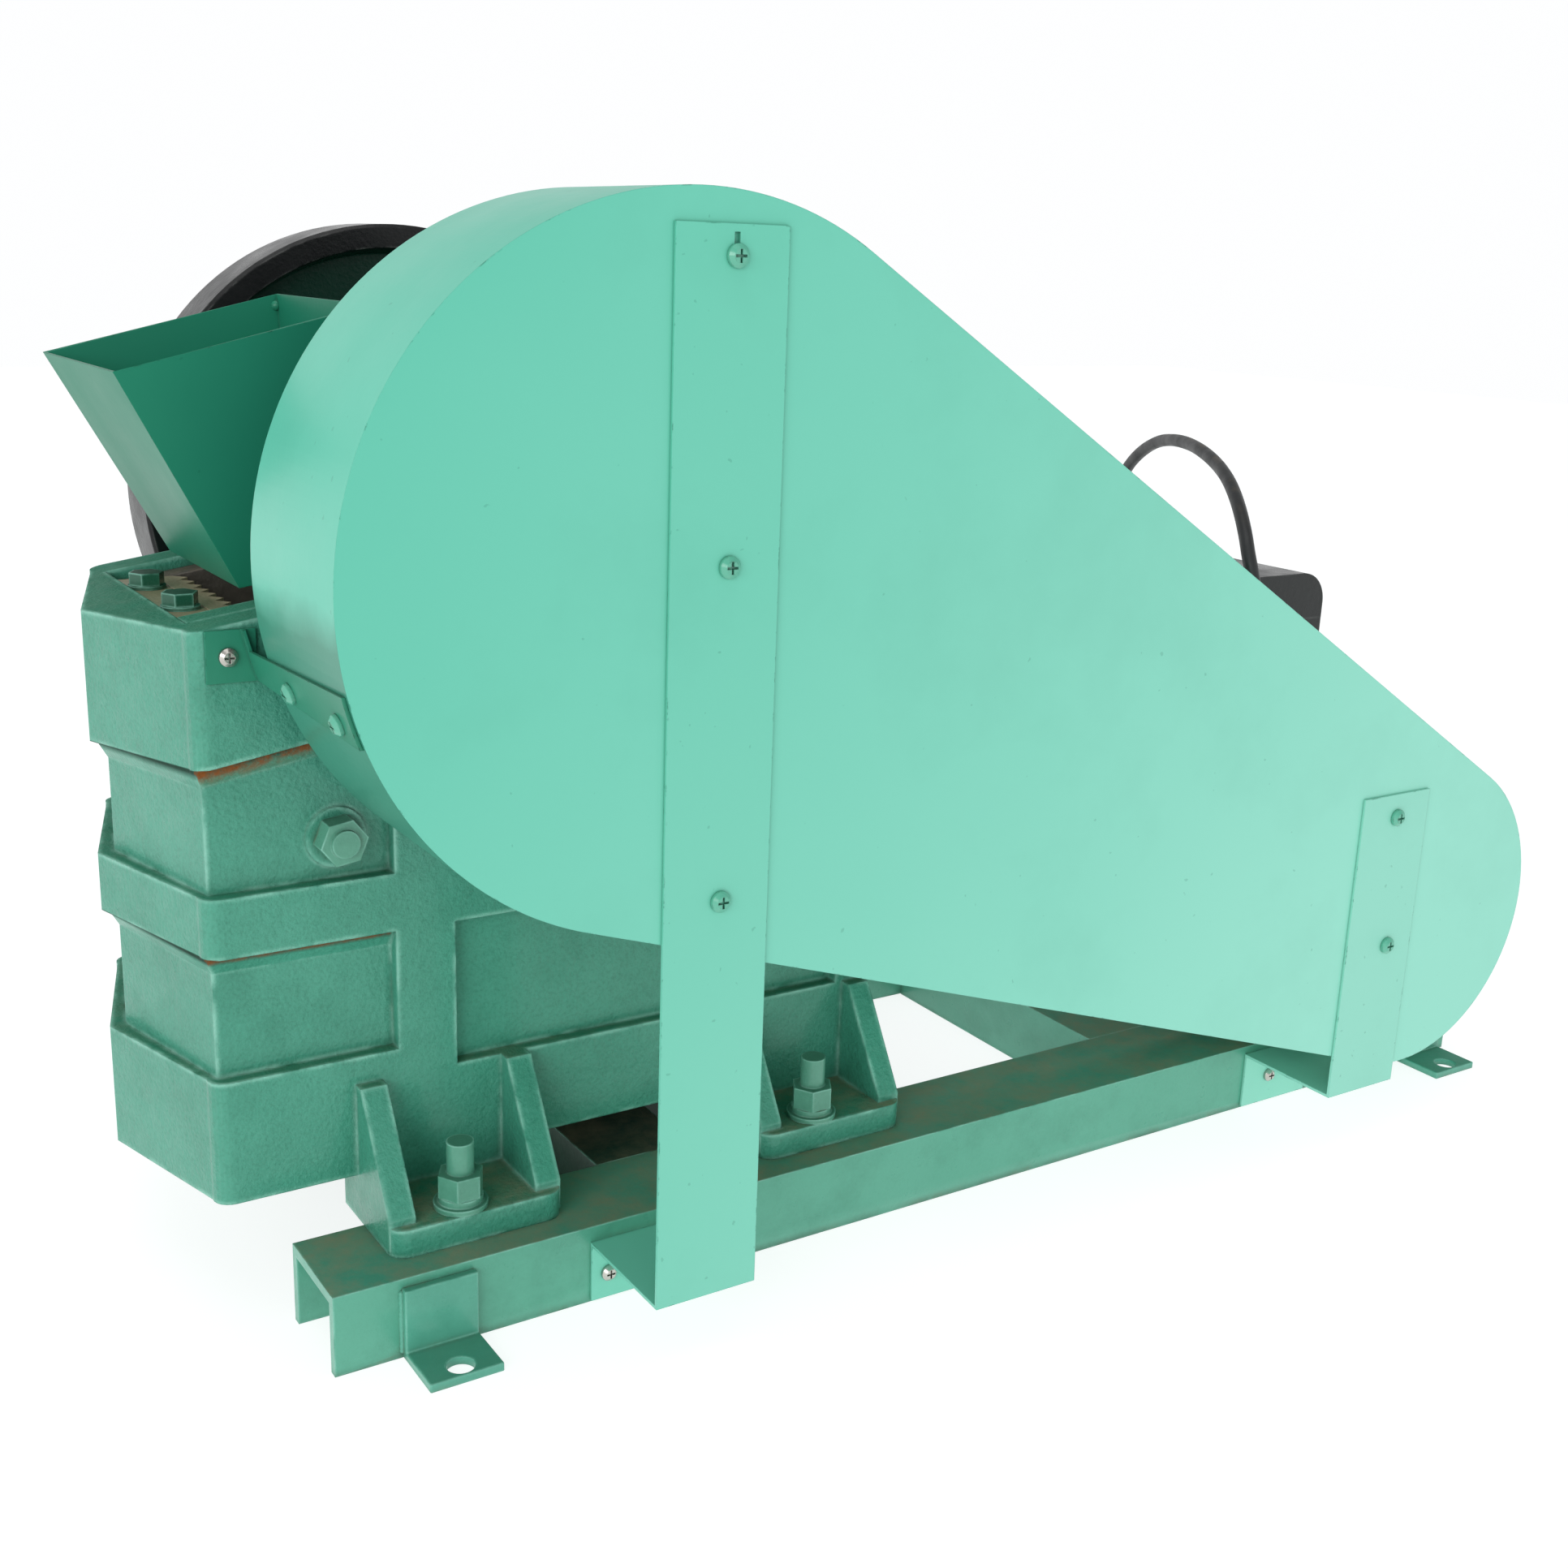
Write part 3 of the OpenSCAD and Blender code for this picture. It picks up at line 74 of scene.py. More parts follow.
class Shader:
    """A material's node tree, with short calls for the nodes used here."""

    def __init__(self, name):
        self.material = bpy.data.materials.new(name)
        self.material.use_nodes = True
        self.tree = self.material.node_tree
        self.tree.nodes.clear()
        self.coords = self.add("ShaderNodeTexCoord").outputs["Object"]

    def add(self, kind, **values):
        node = self.tree.nodes.new(kind)
        for key, value in values.items():
            setattr(node, key, value)
        return node

    def link(self, value, socket):
        """Puts a constant or another node's output on a socket."""
        if isinstance(value, bpy.types.NodeSocket):
            self.tree.links.new(value, socket)
        elif value is not None:
            socket.default_value = value

    def math(self, operation, a, b=0.0, clamp=False):
        node = self.add("ShaderNodeMath", operation=operation, use_clamp=clamp)
        self.link(a, node.inputs[0])
        self.link(b, node.inputs[1])
        return node.outputs[0]

    def times(self, first, *others):
        """Product of two or more values."""
        for other in others:
            first = self.math("MULTIPLY", first, other)
        return first

    def less(self, a, b):
        return self.math("SUBTRACT", a, b)

    def xyz(self, vector):
        """The three parts of a vector."""
        split = self.add("ShaderNodeSeparateXYZ")
        self.link(vector, split.inputs[0])
        return split.outputs[0], split.outputs[1], split.outputs[2]

    def facing(self):
        """The three parts of the surface's normal."""
        return self.xyz(self.add("ShaderNodeNewGeometry").outputs["Normal"])

    def noise(self, scale, detail=4.0, rough=0.55, seed=0.0):
        """Noise from 0 to 1 in the object's own metres."""
        where = self.add("ShaderNodeMapping")
        self.link(self.coords, where.inputs["Vector"])
        where.inputs["Location"].default_value = (seed, seed * 0.7, -seed)
        node = self.add("ShaderNodeTexNoise")
        self.link(where.outputs[0], node.inputs["Vector"])
        node.inputs["Scale"].default_value = scale
        node.inputs["Detail"].default_value = detail
        node.inputs["Roughness"].default_value = rough
        return node.outputs["Fac"]

    def ramp(self, value, low, high, to_low=0.0, to_high=1.0):
        """Linear step of a value from low to high, clamped."""
        node = self.add("ShaderNodeMapRange")
        self.link(value, node.inputs["Value"])
        node.inputs["From Min"].default_value = low
        node.inputs["From Max"].default_value = high
        node.inputs["To Min"].default_value = to_low
        node.inputs["To Max"].default_value = to_high
        return node.outputs[0]

    def mix(self, factor, a, b):
        """Mix of two colours."""
        node = self.add("ShaderNodeMix", data_type="RGBA")
        self.link(factor, node.inputs["Factor"])
        self.link(a, node.inputs[6])
        self.link(b, node.inputs[7])
        return node.outputs[2]

    def up_facing(self, low=0.6, high=0.95):
        """1 on faces that look up, 0 elsewhere."""
        return self.ramp(self.facing()[2], low, high)

    def crease(self, distance):
        """1 in inner corners, 0 in the open."""
        node = self.add("ShaderNodeAmbientOcclusion", samples=8)
        node.inputs["Distance"].default_value = distance
        return self.ramp(node.outputs["AO"], 0.75, 0.35)

    def edge(self, radius):
        """1 on outer edges, 0 on flat faces."""
        bevel = self.add("ShaderNodeBevel", samples=6)
        bevel.inputs["Radius"].default_value = radius
        geometry = self.add("ShaderNodeNewGeometry")
        dot = self.add("ShaderNodeVectorMath", operation="DOT_PRODUCT")
        self.link(bevel.outputs[0], dot.inputs[0])
        self.link(geometry.outputs["Normal"], dot.inputs[1])
        return self.ramp(dot.outputs["Value"], 0.985, 0.9)

    def bump(self, height, distance, strength=1.0, below=None):
        node = self.add("ShaderNodeBump")
        node.inputs["Strength"].default_value = strength
        node.inputs["Distance"].default_value = distance
        self.link(height, node.inputs["Height"])
        if below is not None:
            self.link(below, node.inputs["Normal"])
        return node.outputs[0]

    def rounded(self, radius):
        """Normal softened over edges, as a bevel would."""
        node = self.add("ShaderNodeBevel", samples=6)
        node.inputs["Radius"].default_value = radius
        return node.outputs[0]

    def finish(self, color, roughness, metallic=0.0, normal=None, coat=0.0, coat_rough=0.1,
               specular=0.5, glow=0.0):
        """The finished material; specular, coat_rough and glow are plain numbers."""
        out = self.add("ShaderNodeOutputMaterial")
        surface = self.add("ShaderNodeBsdfPrincipled")
        self.link(color, surface.inputs["Base Color"])
        self.link(roughness, surface.inputs["Roughness"])
        self.link(metallic, surface.inputs["Metallic"])
        self.link(coat, surface.inputs["Coat Weight"])
        surface.inputs["Coat Roughness"].default_value = coat_rough
        surface.inputs["Specular IOR Level"].default_value = specular
        if glow:
            self.link(color, surface.inputs["Emission Color"])
            surface.inputs["Emission Strength"].default_value = glow
        if normal is not None:
            self.link(normal, surface.inputs["Normal"])
        self.link(surface.outputs[0], out.inputs["Surface"])
        return self.material


def rgb(r, g, b):
    """Linear colour from display values of 0 to 255."""
    def linear(v):
        v /= 255.0
        return v / 12.92 if v <= 0.04045 else ((v + 0.055) / 1.055) ** 2.4
    return (linear(r), linear(g), linear(b), 1.0)


# ---------- materials ----------

DUST = rgb(150, 132, 104)
RUST = rgb(132, 80, 42)
# Dark brown-green of grime and painted shade in the casting's inner corners
CREASE_GRIME_AND_SHADE = rgb(52, 66, 48)
# Pale mint of the painted highlight along the casting's edges
EDGE_HIGHLIGHT_PALE = rgb(150, 214, 194)
LINE_RUST = rgb(134, 74, 24)
# Dark green of the painted shade just under the casting's ledges
LEDGE_SHADE_DARK = rgb(24, 40, 30)
# Dark brown of dirt and painted shade in bare metal's corners
METAL_DIRT_AND_SHADE = rgb(40, 34, 28)
# Deep green of the painted shade on the casting's up-facing faces
TOP_SHADE_GREEN = rgb(6, 112, 84)

# The casting's top block has a sloped underside: its height at X = 0, and its rise with X, in metres.
BLOCK_RISE = math.tan(math.radians(9.5))
BLOCK_AT_ZERO = 0.248 + 0.390 * BLOCK_RISE
# Underside of the middle band, and the box of the recesses: back end in X, half width in Y
BAND_UNDER = 0.169
RECESS_END_X = -0.309
RECESS_HALF_Y = 0.0817
HAIR = 0.0005
# Heights between which the guard's rim turns from lit to shaded
RIM_SHADE_Z = (0.332, 0.316)


def cast_paint(name, base, pale, deep, grain=1.0, dust=0.25, rust=0.2, roughness=0.36, round_over=0.0015,
               low_dust=0.0, rust_lines=False, edge=0.0015, top=None):
    """Brushed enamel over a sand casting: grainy, with a painted highlight on the edges, painted shade
    deeper green on top, dusty low down.
    """
    s = Shader(name)
    tone = s.mix(s.noise(9, 5, 0.6), base, pale)
    tone = s.mix(s.times(s.ramp(s.noise(34, 6, 0.65, seed=3), 0.46, 0.72), 0.25), tone, deep)
    fine = s.noise(620, 3, 0.6, seed=7)
    tone = s.mix(s.times(s.ramp(fine, 0.34, 0.50, 1.0, 0.0), 0.20 * grain), tone, deep)
    tone = s.mix(s.times(s.ramp(fine, 0.54, 0.70), 0.16 * grain), tone, pale)
    up = s.up_facing()
    # Painted shade: up-facing faces turn darker, deeper green
    tone = s.mix(s.times(up, 0.6 if top else 0.42), tone, top or deep)
    # Painted highlight: pale mint along outer edges, broken up by noise
    edge_wear_and_highlight = s.times(s.edge(edge), s.ramp(s.noise(70, 5, seed=11), 0.36, 0.58))
    tone = s.mix(s.times(edge_wear_and_highlight, 0.75), tone, EDGE_HIGHLIGHT_PALE)
    corner = s.crease(0.007)
    # Grime and painted shade in inner corners
    crease_grime_and_shade = s.times(corner, s.ramp(s.noise(26, 5, 0.7, seed=19), 0.3, 0.6))
    tone = s.mix(s.times(crease_grime_and_shade, 0.55), tone, CREASE_GRIME_AND_SHADE)
    rusty = s.times(corner, s.ramp(s.noise(48, 5, 0.7, seed=29), 0.5, 0.7))
    tone = s.mix(s.times(rusty, rust), tone, RUST)
    matt = s.times(corner, 0.5)
    if rust_lines:
        ledge_shade, bare = under_bands(s)
        matt = s.math("MAXIMUM", matt, ledge_shade)
        # Painted shade: a dark strip just under the top block and the middle band
        tone = s.mix(s.times(ledge_shade, 0.9), tone, LEDGE_SHADE_DARK)
        ragged = s.ramp(s.noise(110, 6, 0.75, seed=37), 0.34, 0.58)
        tone = s.mix(s.times(bare, ragged), tone, LINE_RUST)
    patch = s.ramp(s.noise(44, 7, 0.72, seed=5), 0.34, 0.7)
    low = s.ramp(s.xyz(s.coords)[2], 0.125, 0.06, 0.0, low_dust)
    settled = s.times(up, s.math("MULTIPLY", patch, s.math("ADD", low, dust), clamp=True))
    tone = s.mix(settled, tone, DUST)
    gloss = s.ramp(s.noise(120, 4, seed=23), 0.3, 0.7, roughness - 0.06, roughness + 0.12)
    gloss = s.math("ADD", gloss, s.times(settled, 0.4), clamp=True)
    gloss = s.math("ADD", gloss, s.times(matt, 0.6), clamp=True)
    gloss = s.math("ADD", gloss, s.times(up, 0.3), clamp=True)
    sand = s.bump(s.noise(480, 4, 0.6, seed=2), 0.0008 * grain, 0.8, s.rounded(round_over))
    waves = s.bump(s.noise(60, 4, 0.5, seed=8), 0.0020 * grain, 0.6, sand)
    clean = s.math("SUBTRACT", s.less(1.0, up), matt, clamp=True)
    return s.finish(tone, gloss, normal=waves, coat=s.times(clean, 0.35), coat_rough=0.16,
                    specular=0.3)


def strip(s, depth, dark, clear):
    """1 from a ledge's underside down to the depth dark, fading to 0 at the depth clear."""
    return s.times(s.ramp(depth, -HAIR, 0.0), s.ramp(depth, clear, dark))


def under_bands(s):
    """Two masks under the casting's top block and middle band: a painted shade strip just under each
    ledge, and bare rusty metal.
    """
    x, y, z = s.xyz(s.coords)
    sideways = s.ramp(s.math("ABSOLUTE", s.facing()[1]), 0.4, 0.65)
    block = s.math("ADD", s.times(x, BLOCK_RISE), BLOCK_AT_ZERO)
    under_block = s.less(block, z)
    under_band = s.less(BAND_UNDER, z)
    inside = s.times(s.ramp(x, RECESS_END_X + HAIR, RECESS_END_X - HAIR),
                     s.ramp(s.math("ABSOLUTE", y), RECESS_HALF_Y + HAIR, RECESS_HALF_Y - HAIR))
    ledge_shade = s.math("MAXIMUM", strip(s, under_block, 0.001, 0.005), strip(s, under_band, 0.001, 0.004))
    bare = s.math("MAXIMUM", strip(s, under_block, 0.0030, 0.0092),
                  s.times(strip(s, under_band, 0.0016, 0.0034), 0.7))
    return s.times(ledge_shade, inside), s.times(bare, inside, sideways)


def painted_rim_shade(s):
    """Painted shade, up to 0.75, on the part of the guard's rim that turns forward and down, beside the
    casting.
    """
    waver = s.ramp(s.noise(25, 3, seed=41), 0.3, 0.7, -0.004, 0.004)
    height = s.math("ADD", s.xyz(s.coords)[2], waver)
    return s.times(s.ramp(height, *RIM_SHADE_Z, 0.0, 0.75), s.ramp(s.facing()[0], -0.2, -0.5))


def sheet_paint(name, base, pale, deep, roughness=0.3, coat=0.5, dust=0.15, fade=None,
                rim_shade=False, specular=0.3):
    """Smooth sprayed enamel on sheet metal, with slight waves and chips along the edges."""
    s = Shader(name)
    spread = s.noise(3.2, 3, 0.5)
    # Painted light: the paint turns paler towards the rear and the bottom
    if fade:
        x, _, z = s.xyz(s.coords)
        along = s.less(x, s.times(z, 0.6))
        spread = s.math("ADD", s.times(spread, 0.3), s.ramp(along, *fade, -0.1, 0.85), clamp=True)
    tone = s.mix(spread, base, pale)
    if rim_shade:
        # Painted shade on the low part of the guard's rim, beside the casting
        tone = s.mix(painted_rim_shade(s), tone, deep)
    tone = s.mix(s.times(s.ramp(s.noise(11, 5, 0.6, seed=4), 0.5, 0.8), 0.10), tone, deep)
    chips = s.times(s.edge(0.0010), s.ramp(s.noise(150, 6, 0.7, seed=9), 0.56, 0.63))
    tone = s.mix(s.times(chips, 0.8), tone, deep)
    specks = s.ramp(s.noise(240, 2, 0.4, seed=31), 0.745, 0.77)
    tone = s.mix(s.times(specks, 0.25), tone, deep)
    # Painted shade in inner corners
    tone = s.mix(s.times(s.crease(0.003), 0.5), tone, deep)
    settled = s.times(s.up_facing(), s.ramp(s.noise(30, 6, 0.7, seed=6), 0.45, 0.8))
    tone = s.mix(s.times(settled, dust), tone, DUST)
    gloss = s.ramp(s.noise(16, 4, seed=12), 0.3, 0.7, roughness - 0.04, roughness + 0.06)
    peel = s.bump(s.noise(330, 2, 0.5, seed=14), 0.00008, 0.5, s.rounded(0.0005))
    dents = s.bump(s.noise(5.5, 2, 0.4, seed=15), 0.003, 0.2, peel)
    side = s.less(1.0, s.up_facing(-0.1, 0.5))
    return s.finish(tone, gloss, normal=dents, coat=s.times(side, coat), coat_rough=0.16,
                    specular=specular)


def gloss_black(name, worn_amount=0.6, base=rgb(16, 19, 20)):
    """Black enamel, glossy, scuffed grey on edges."""
    s = Shader(name)
    tone = s.mix(s.noise(12, 5, 0.6), base, rgb(30, 34, 34))
    edge_wear_and_highlight = s.times(s.edge(0.0016), s.ramp(s.noise(60, 6, 0.7, seed=3), 0.42, 0.6))
    tone = s.mix(s.times(edge_wear_and_highlight, worn_amount), tone, rgb(120, 122, 120))
    settled = s.times(s.up_facing(0.3, 0.95), s.ramp(s.noise(32, 6, 0.7, seed=6), 0.4, 0.8))
    tone = s.mix(s.times(settled, 0.10), tone, rgb(120, 122, 120))
    gloss = s.ramp(s.noise(40, 5, seed=12), 0.3, 0.7, 0.2, 0.42)
    skin = s.bump(s.noise(260, 3, 0.5, seed=5), 0.0004, 0.5, s.rounded(0.0012))
    side = s.less(1.0, s.up_facing())
    return s.finish(tone, gloss, normal=skin, coat=s.times(side, 0.25), coat_rough=0.12,
                    specular=0.25)


def bare_metal(name, base, dark, roughness=0.3, rust=0.15, grain=0.0, metallic=0.9,
               crease_grime_and_shade=0.6):
    """Machined or raw metal with fine marks, stains and a little rust."""
    s = Shader(name)
    tone = s.mix(s.noise(60, 5, 0.6), base, dark)
    stain = s.ramp(s.noise(35, 6, 0.7, seed=8), 0.55, 0.75)
    tone = s.mix(s.times(stain, rust), tone, RUST)
    # Dirt and painted shade in corners
    tone = s.mix(s.times(s.crease(0.003), crease_grime_and_shade), tone, METAL_DIRT_AND_SHADE)
    settled = s.times(s.up_facing(), s.ramp(s.noise(60, 6, 0.7, seed=16), 0.45, 0.8))
    tone = s.mix(s.times(settled, 0.35 * (1 + grain)), tone, DUST)
    gloss = s.ramp(s.noise(150, 4, seed=2), 0.3, 0.7, roughness - 0.08, roughness + 0.14)
    marks = s.bump(s.noise(500, 3, 0.5, seed=4), 0.0002 + 0.0006 * grain, 0.6,
                   s.rounded(0.0004))
    return s.finish(tone, gloss, metallic=metallic, normal=marks)


def rubber(name, base=rgb(22, 24, 25), roughness=0.45):
    """Black rubber or plastic with a faint bloom."""
    s = Shader(name)
    tone = s.mix(s.noise(30, 5, 0.6), base, rgb(44, 46, 48))
    settled = s.times(s.up_facing(), s.ramp(s.noise(50, 6, 0.7, seed=6), 0.5, 0.8))
    tone = s.mix(s.times(settled, 0.25), tone, DUST)
    gloss = s.ramp(s.noise(90, 4, seed=12), 0.3, 0.7, roughness - 0.08, roughness + 0.12)
    skin = s.bump(s.noise(700, 2, 0.5, seed=5), 0.00015, 0.5)
    return s.finish(tone, gloss, normal=skin, specular=0.45)


def copper(name):
    """Varnished windings: fine parallel turns."""
    s = Shader(name)
    wave = s.add("ShaderNodeTexWave", wave_type="BANDS", bands_direction="X")
    s.link(s.coords, wave.inputs["Vector"])
    wave.inputs["Scale"].default_value = 320
    wave.inputs["Distortion"].default_value = 1.5
    tone = s.mix(wave.outputs["Fac"], rgb(120, 60, 28), rgb(196, 118, 66))
    tone = s.mix(s.ramp(s.noise(40, 5, seed=3), 0.4, 0.8, 0.0, 0.5), tone, rgb(70, 40, 26))
    turns = s.bump(wave.outputs["Fac"], 0.0005, 0.7)
    return s.finish(tone, s.ramp(s.noise(80, 3), 0.3, 0.7, 0.25, 0.45), metallic=0.7, normal=turns,
                    coat=0.4)


GREEN = cast_paint("cast_green", rgb(48, 135, 111), rgb(84, 166, 142), rgb(18, 96, 73), dust=0.08,
                   rust=0.15, roughness=0.32, low_dust=0.55, rust_lines=True, edge=0.004,
                   top=TOP_SHADE_GREEN)
FRAME_GREEN = cast_paint("channel_green", rgb(74, 156, 130), rgb(100, 176, 152), rgb(34, 104, 82),
                         grain=0.22, dust=0.05, rust=0.25, roughness=0.32, round_over=0.0012,
                         low_dust=0.55)
# Dark channel green as painted shade: the cross member under the casting is made dark to stand for the
# shade there
SHADE_MEMBER_GREEN = cast_paint("painted_shade_channel_green", rgb(22, 58, 45), rgb(38, 82, 64), rgb(9, 32, 24),
                          grain=0.3, dust=0.1, rust=0.3, roughness=0.45, low_dust=0.3)
TAB_GREEN = cast_paint("foot_tab_green", rgb(66, 150, 126), rgb(104, 182, 160), rgb(38, 112, 90),
                       grain=0.2, dust=0.05, rust=0.3, roughness=0.3, round_over=0.0012)
JAW_GREEN = cast_paint("jaw_green", rgb(40, 118, 94), rgb(80, 154, 128), rgb(20, 78, 60), dust=0.45)
BOLT_GREEN = cast_paint("bolt_green", rgb(58, 134, 108), rgb(110, 172, 150), rgb(26, 84, 66),
                        grain=0.3, dust=0.05, rust=0.6, roughness=0.3, round_over=0.0007)
CLAMP_GREEN = cast_paint("clamp_bolt_green", rgb(20, 76, 56), rgb(44, 110, 86), rgb(10, 44, 32),
                         grain=0.3, dust=0.0, rust=0.1, roughness=0.22, round_over=0.0006)
HOPPER_GREEN = sheet_paint("hopper_green", rgb(24, 116, 90), rgb(38, 136, 108), rgb(12, 76, 56),
                           roughness=0.4, coat=0.0, dust=0.03, specular=0.2)
BRACKET_GREEN = sheet_paint("bracket_green", rgb(34, 122, 96), rgb(50, 140, 112), rgb(14, 66, 48),
                            roughness=0.34, coat=0.15, specular=0.25)
SCREW_GREEN = sheet_paint("screw_green", rgb(78, 162, 136), rgb(100, 184, 158), rgb(18, 70, 52),
                          roughness=0.26, coat=0.8)
# Painted light on the guard and its straps: the span of X less 0.6 Z, in metres, over which the paint
# turns paler
GUARD_PAINTED_LIGHT_FADE = (-0.62, 0.12)
MINT = sheet_paint("guard_mint", rgb(88, 188, 163), rgb(146, 219, 199), rgb(30, 112, 88),
                   roughness=0.36, coat=0.2, dust=0.02, fade=GUARD_PAINTED_LIGHT_FADE, rim_shade=True)
STRAP_MINT = sheet_paint("strap_mint", rgb(86, 188, 162), rgb(142, 214, 194), rgb(30, 112, 88),
                         roughness=0.36, coat=0.2, dust=0.02, fade=GUARD_PAINTED_LIGHT_FADE)
MOTOR_GREEN = cast_paint("motor_green", rgb(54, 142, 116), rgb(90, 168, 144), rgb(26, 92, 72),
                         grain=0.45, dust=0.12)
BLACK = gloss_black("gloss_black")
BOX_BLACK = gloss_black("terminal_box_black", 0.3, rgb(26, 30, 30))
STEEL = bare_metal("machined_steel", rgb(190, 190, 188), rgb(140, 140, 138), 0.26, rust=0.12)
SCREW = bare_metal("bright_screw", rgb(222, 220, 214), rgb(168, 164, 156), 0.22, rust=0.1)
IRON = bare_metal("raw_iron", rgb(118, 112, 104), rgb(74, 70, 66), 0.5, rust=0.3, grain=1.0, metallic=0.4)
LINER = bare_metal("liner_iron", rgb(192, 182, 152), rgb(150, 140, 112), 0.5, rust=0.12, grain=0.8,
                   metallic=0.15, crease_grime_and_shade=0.35)
RUBBER = rubber("black_rubber")
PLASTIC = rubber("black_plastic", rgb(20, 21, 22), 0.38)
COPPER = copper("copper_winding")

# Where the plug's rubber ends and its pins begin, along X
PINS_FROM = 0.189


def plug_material():
    """Rubber plug body with bright pins, told apart by distance along X."""
    s = Shader("plug")
    pins = s.ramp(s.xyz(s.coords)[0], PINS_FROM + 0.0002, PINS_FROM - 0.0002)
    black = s.mix(s.noise(30, 5, 0.6), rgb(24, 25, 26), rgb(44, 46, 48))
    metal = s.mix(s.noise(90, 4, 0.6), rgb(206, 202, 192), rgb(160, 156, 146))
    gloss = s.ramp(s.noise(90, 4, seed=12), 0.3, 0.7, 0.34, 0.5)
    skin = s.bump(s.noise(600, 2, 0.5, seed=5), 0.00015, 0.5, s.rounded(0.0006))
    return s.finish(s.mix(pins, black, metal), gloss, metallic=s.times(pins, 0.9), normal=skin)


LOOKS = {
    "rail_near": FRAME_GREEN, "rail_far": FRAME_GREEN, "cross_member_body": SHADE_MEMBER_GREEN,
    "cross_member_motor_front": FRAME_GREEN, "cross_member_motor_rear": FRAME_GREEN,
    "foot_tabs": TAB_GREEN, "crusher_body": GREEN, "cheek_plate_near": GREEN,
    "bearing_cover_near": GREEN, "bearing_cover_far": GREEN, "moving_jaw": JAW_GREEN,
    "body_bolts": BOLT_GREEN, "cheek_bolts": BOLT_GREEN, "clamp_bolts": CLAMP_GREEN,
    "feed_hopper": HOPPER_GREEN, "belt_guard": MINT, "guard_strap_front": STRAP_MINT,
    "guard_strap_rear": STRAP_MINT, "guard_bracket": BRACKET_GREEN, "painted_pan_screws": SCREW_GREEN,
    "motor_frame": MOTOR_GREEN, "drive_end_shield": MOTOR_GREEN, "rear_end_shield": MOTOR_GREEN,
    "fan_cowl": MOTOR_GREEN, "drive_flywheel": BLACK, "balance_flywheel": BLACK,
    "terminal_box": BOX_BLACK, "terminal_box_lid": BOX_BLACK, "fixed_jaw_plate": LINER,
    "moving_jaw_plate": LINER, "jaw_clamp_bar": LINER, "cheek_plate_far": IRON,
    "toggle_seat_rear": IRON, "toggle_seat_front": IRON, "adjusting_wedge": IRON,
    "toggle_plate": IRON, "jaw_plate_bolts": IRON, "motor_pulley": IRON,
    "bright_pan_screws": SCREW, "v_belts": RUBBER, "cooling_fan": PLASTIC, "cable_gland": PLASTIC,
    "motor_stator": COPPER, "cord_plug": plug_material(),
}

for name, node in nodes.items():
    node.data.materials.clear()
    node.data.materials.append(LOOKS.get(name, STEEL))


# The eccentric shaft's centre, in X and Z, and the radii between which the web turns into the rim
SHAFT_X, SHAFT_Z = -0.2295, 0.334
RIM_FROM = (0.1135, 0.1142)


def wheel_material():
    """Balance wheel: black rim, dark green web and hub, told apart by distance from the shaft."""
    s = Shader("balance_wheel")
    x, _, z = s.xyz(s.coords)
    dx, dz = s.less(x, SHAFT_X), s.less(z, SHAFT_Z)
    radius = s.math("SQRT", s.math("ADD", s.times(dx, dx), s.times(dz, dz)))
    ragged = s.math("ADD", radius, s.ramp(s.noise(90, 3, seed=4), 0.3, 0.7, -0.0006, 0.0006))
    rim = s.ramp(ragged, *RIM_FROM)
    web = s.mix(s.noise(30, 5, 0.6), rgb(6, 36, 27), rgb(12, 52, 40))
    black = s.mix(s.noise(14, 5, 0.6), rgb(12, 14, 15), rgb(26, 28, 29))
    edge_wear_and_highlight = s.times(s.edge(0.0016), s.ramp(s.noise(60, 6, 0.7, seed=3), 0.45, 0.62))
    black = s.mix(s.times(edge_wear_and_highlight, 0.55), black, rgb(126, 128, 126))
    tone = s.mix(rim, web, black)
    gloss = s.ramp(s.noise(40, 5, seed=12), 0.3, 0.7, 0.24, 0.44)
    sand = s.bump(s.noise(420, 4, 0.6, seed=2), 0.0004, 0.6, s.rounded(0.0012))
    return s.finish(tone, gloss, normal=sand, coat=s.times(rim, 0.15), coat_rough=0.12,
                    specular=0.22)


nodes["balance_flywheel"].data.materials[0] = wheel_material()


# ---------- edges of the CAD pieces ----------

def soften(name, width, segments, angle=35):
    """Rounds a node's edges that are sharper than angle, in degrees, by width, in metres."""
    node = nodes[name]
    weld = node.modifiers.new("weld", "WELD")
    weld.merge_threshold = 1e-6
    flat = node.modifiers.new("flat", "DECIMATE")
    flat.decimate_type = "DISSOLVE"
    flat.angle_limit = math.radians(0.5)
    bevel = node.modifiers.new("round", "BEVEL")
    bevel.width = width
    bevel.segments = segments
    bevel.limit_method = "ANGLE"
    bevel.angle_limit = math.radians(angle)
    bevel.use_clamp_overlap = True
    bevel.harden_normals = False


# Node to bevel: width in metres, segments, and where it isn't 35, the angle in degrees
ROUNDED = {
    "crusher_body": (0.0030, 3, 25), "cheek_plate_near": (0.0006, 2), "cheek_plate_far": (0.0008, 2),
    "moving_jaw": (0.0018, 2), "jaw_clamp_bar": (0.0006, 1), "foot_tabs": (0.0006, 2),
    "rail_near": (0.0009, 2), "rail_far": (0.0009, 2), "terminal_box_lid": (0.0012, 2),
    "terminal_box": (0.0012, 2), "toggle_plate": (0.0006, 1),
}
for name, values in ROUNDED.items():
    soften(name, *values)


# ---------- mesh helpers ----------

def new_piece(name, mesh, material):
    """A finished mesh or curve as a piece that rides on the frame."""
    piece = bpy.data.objects.new(name, mesh)
    bpy.context.scene.collection.objects.link(piece)
    mesh.materials.append(material)
    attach(piece, "frame")
    return piece


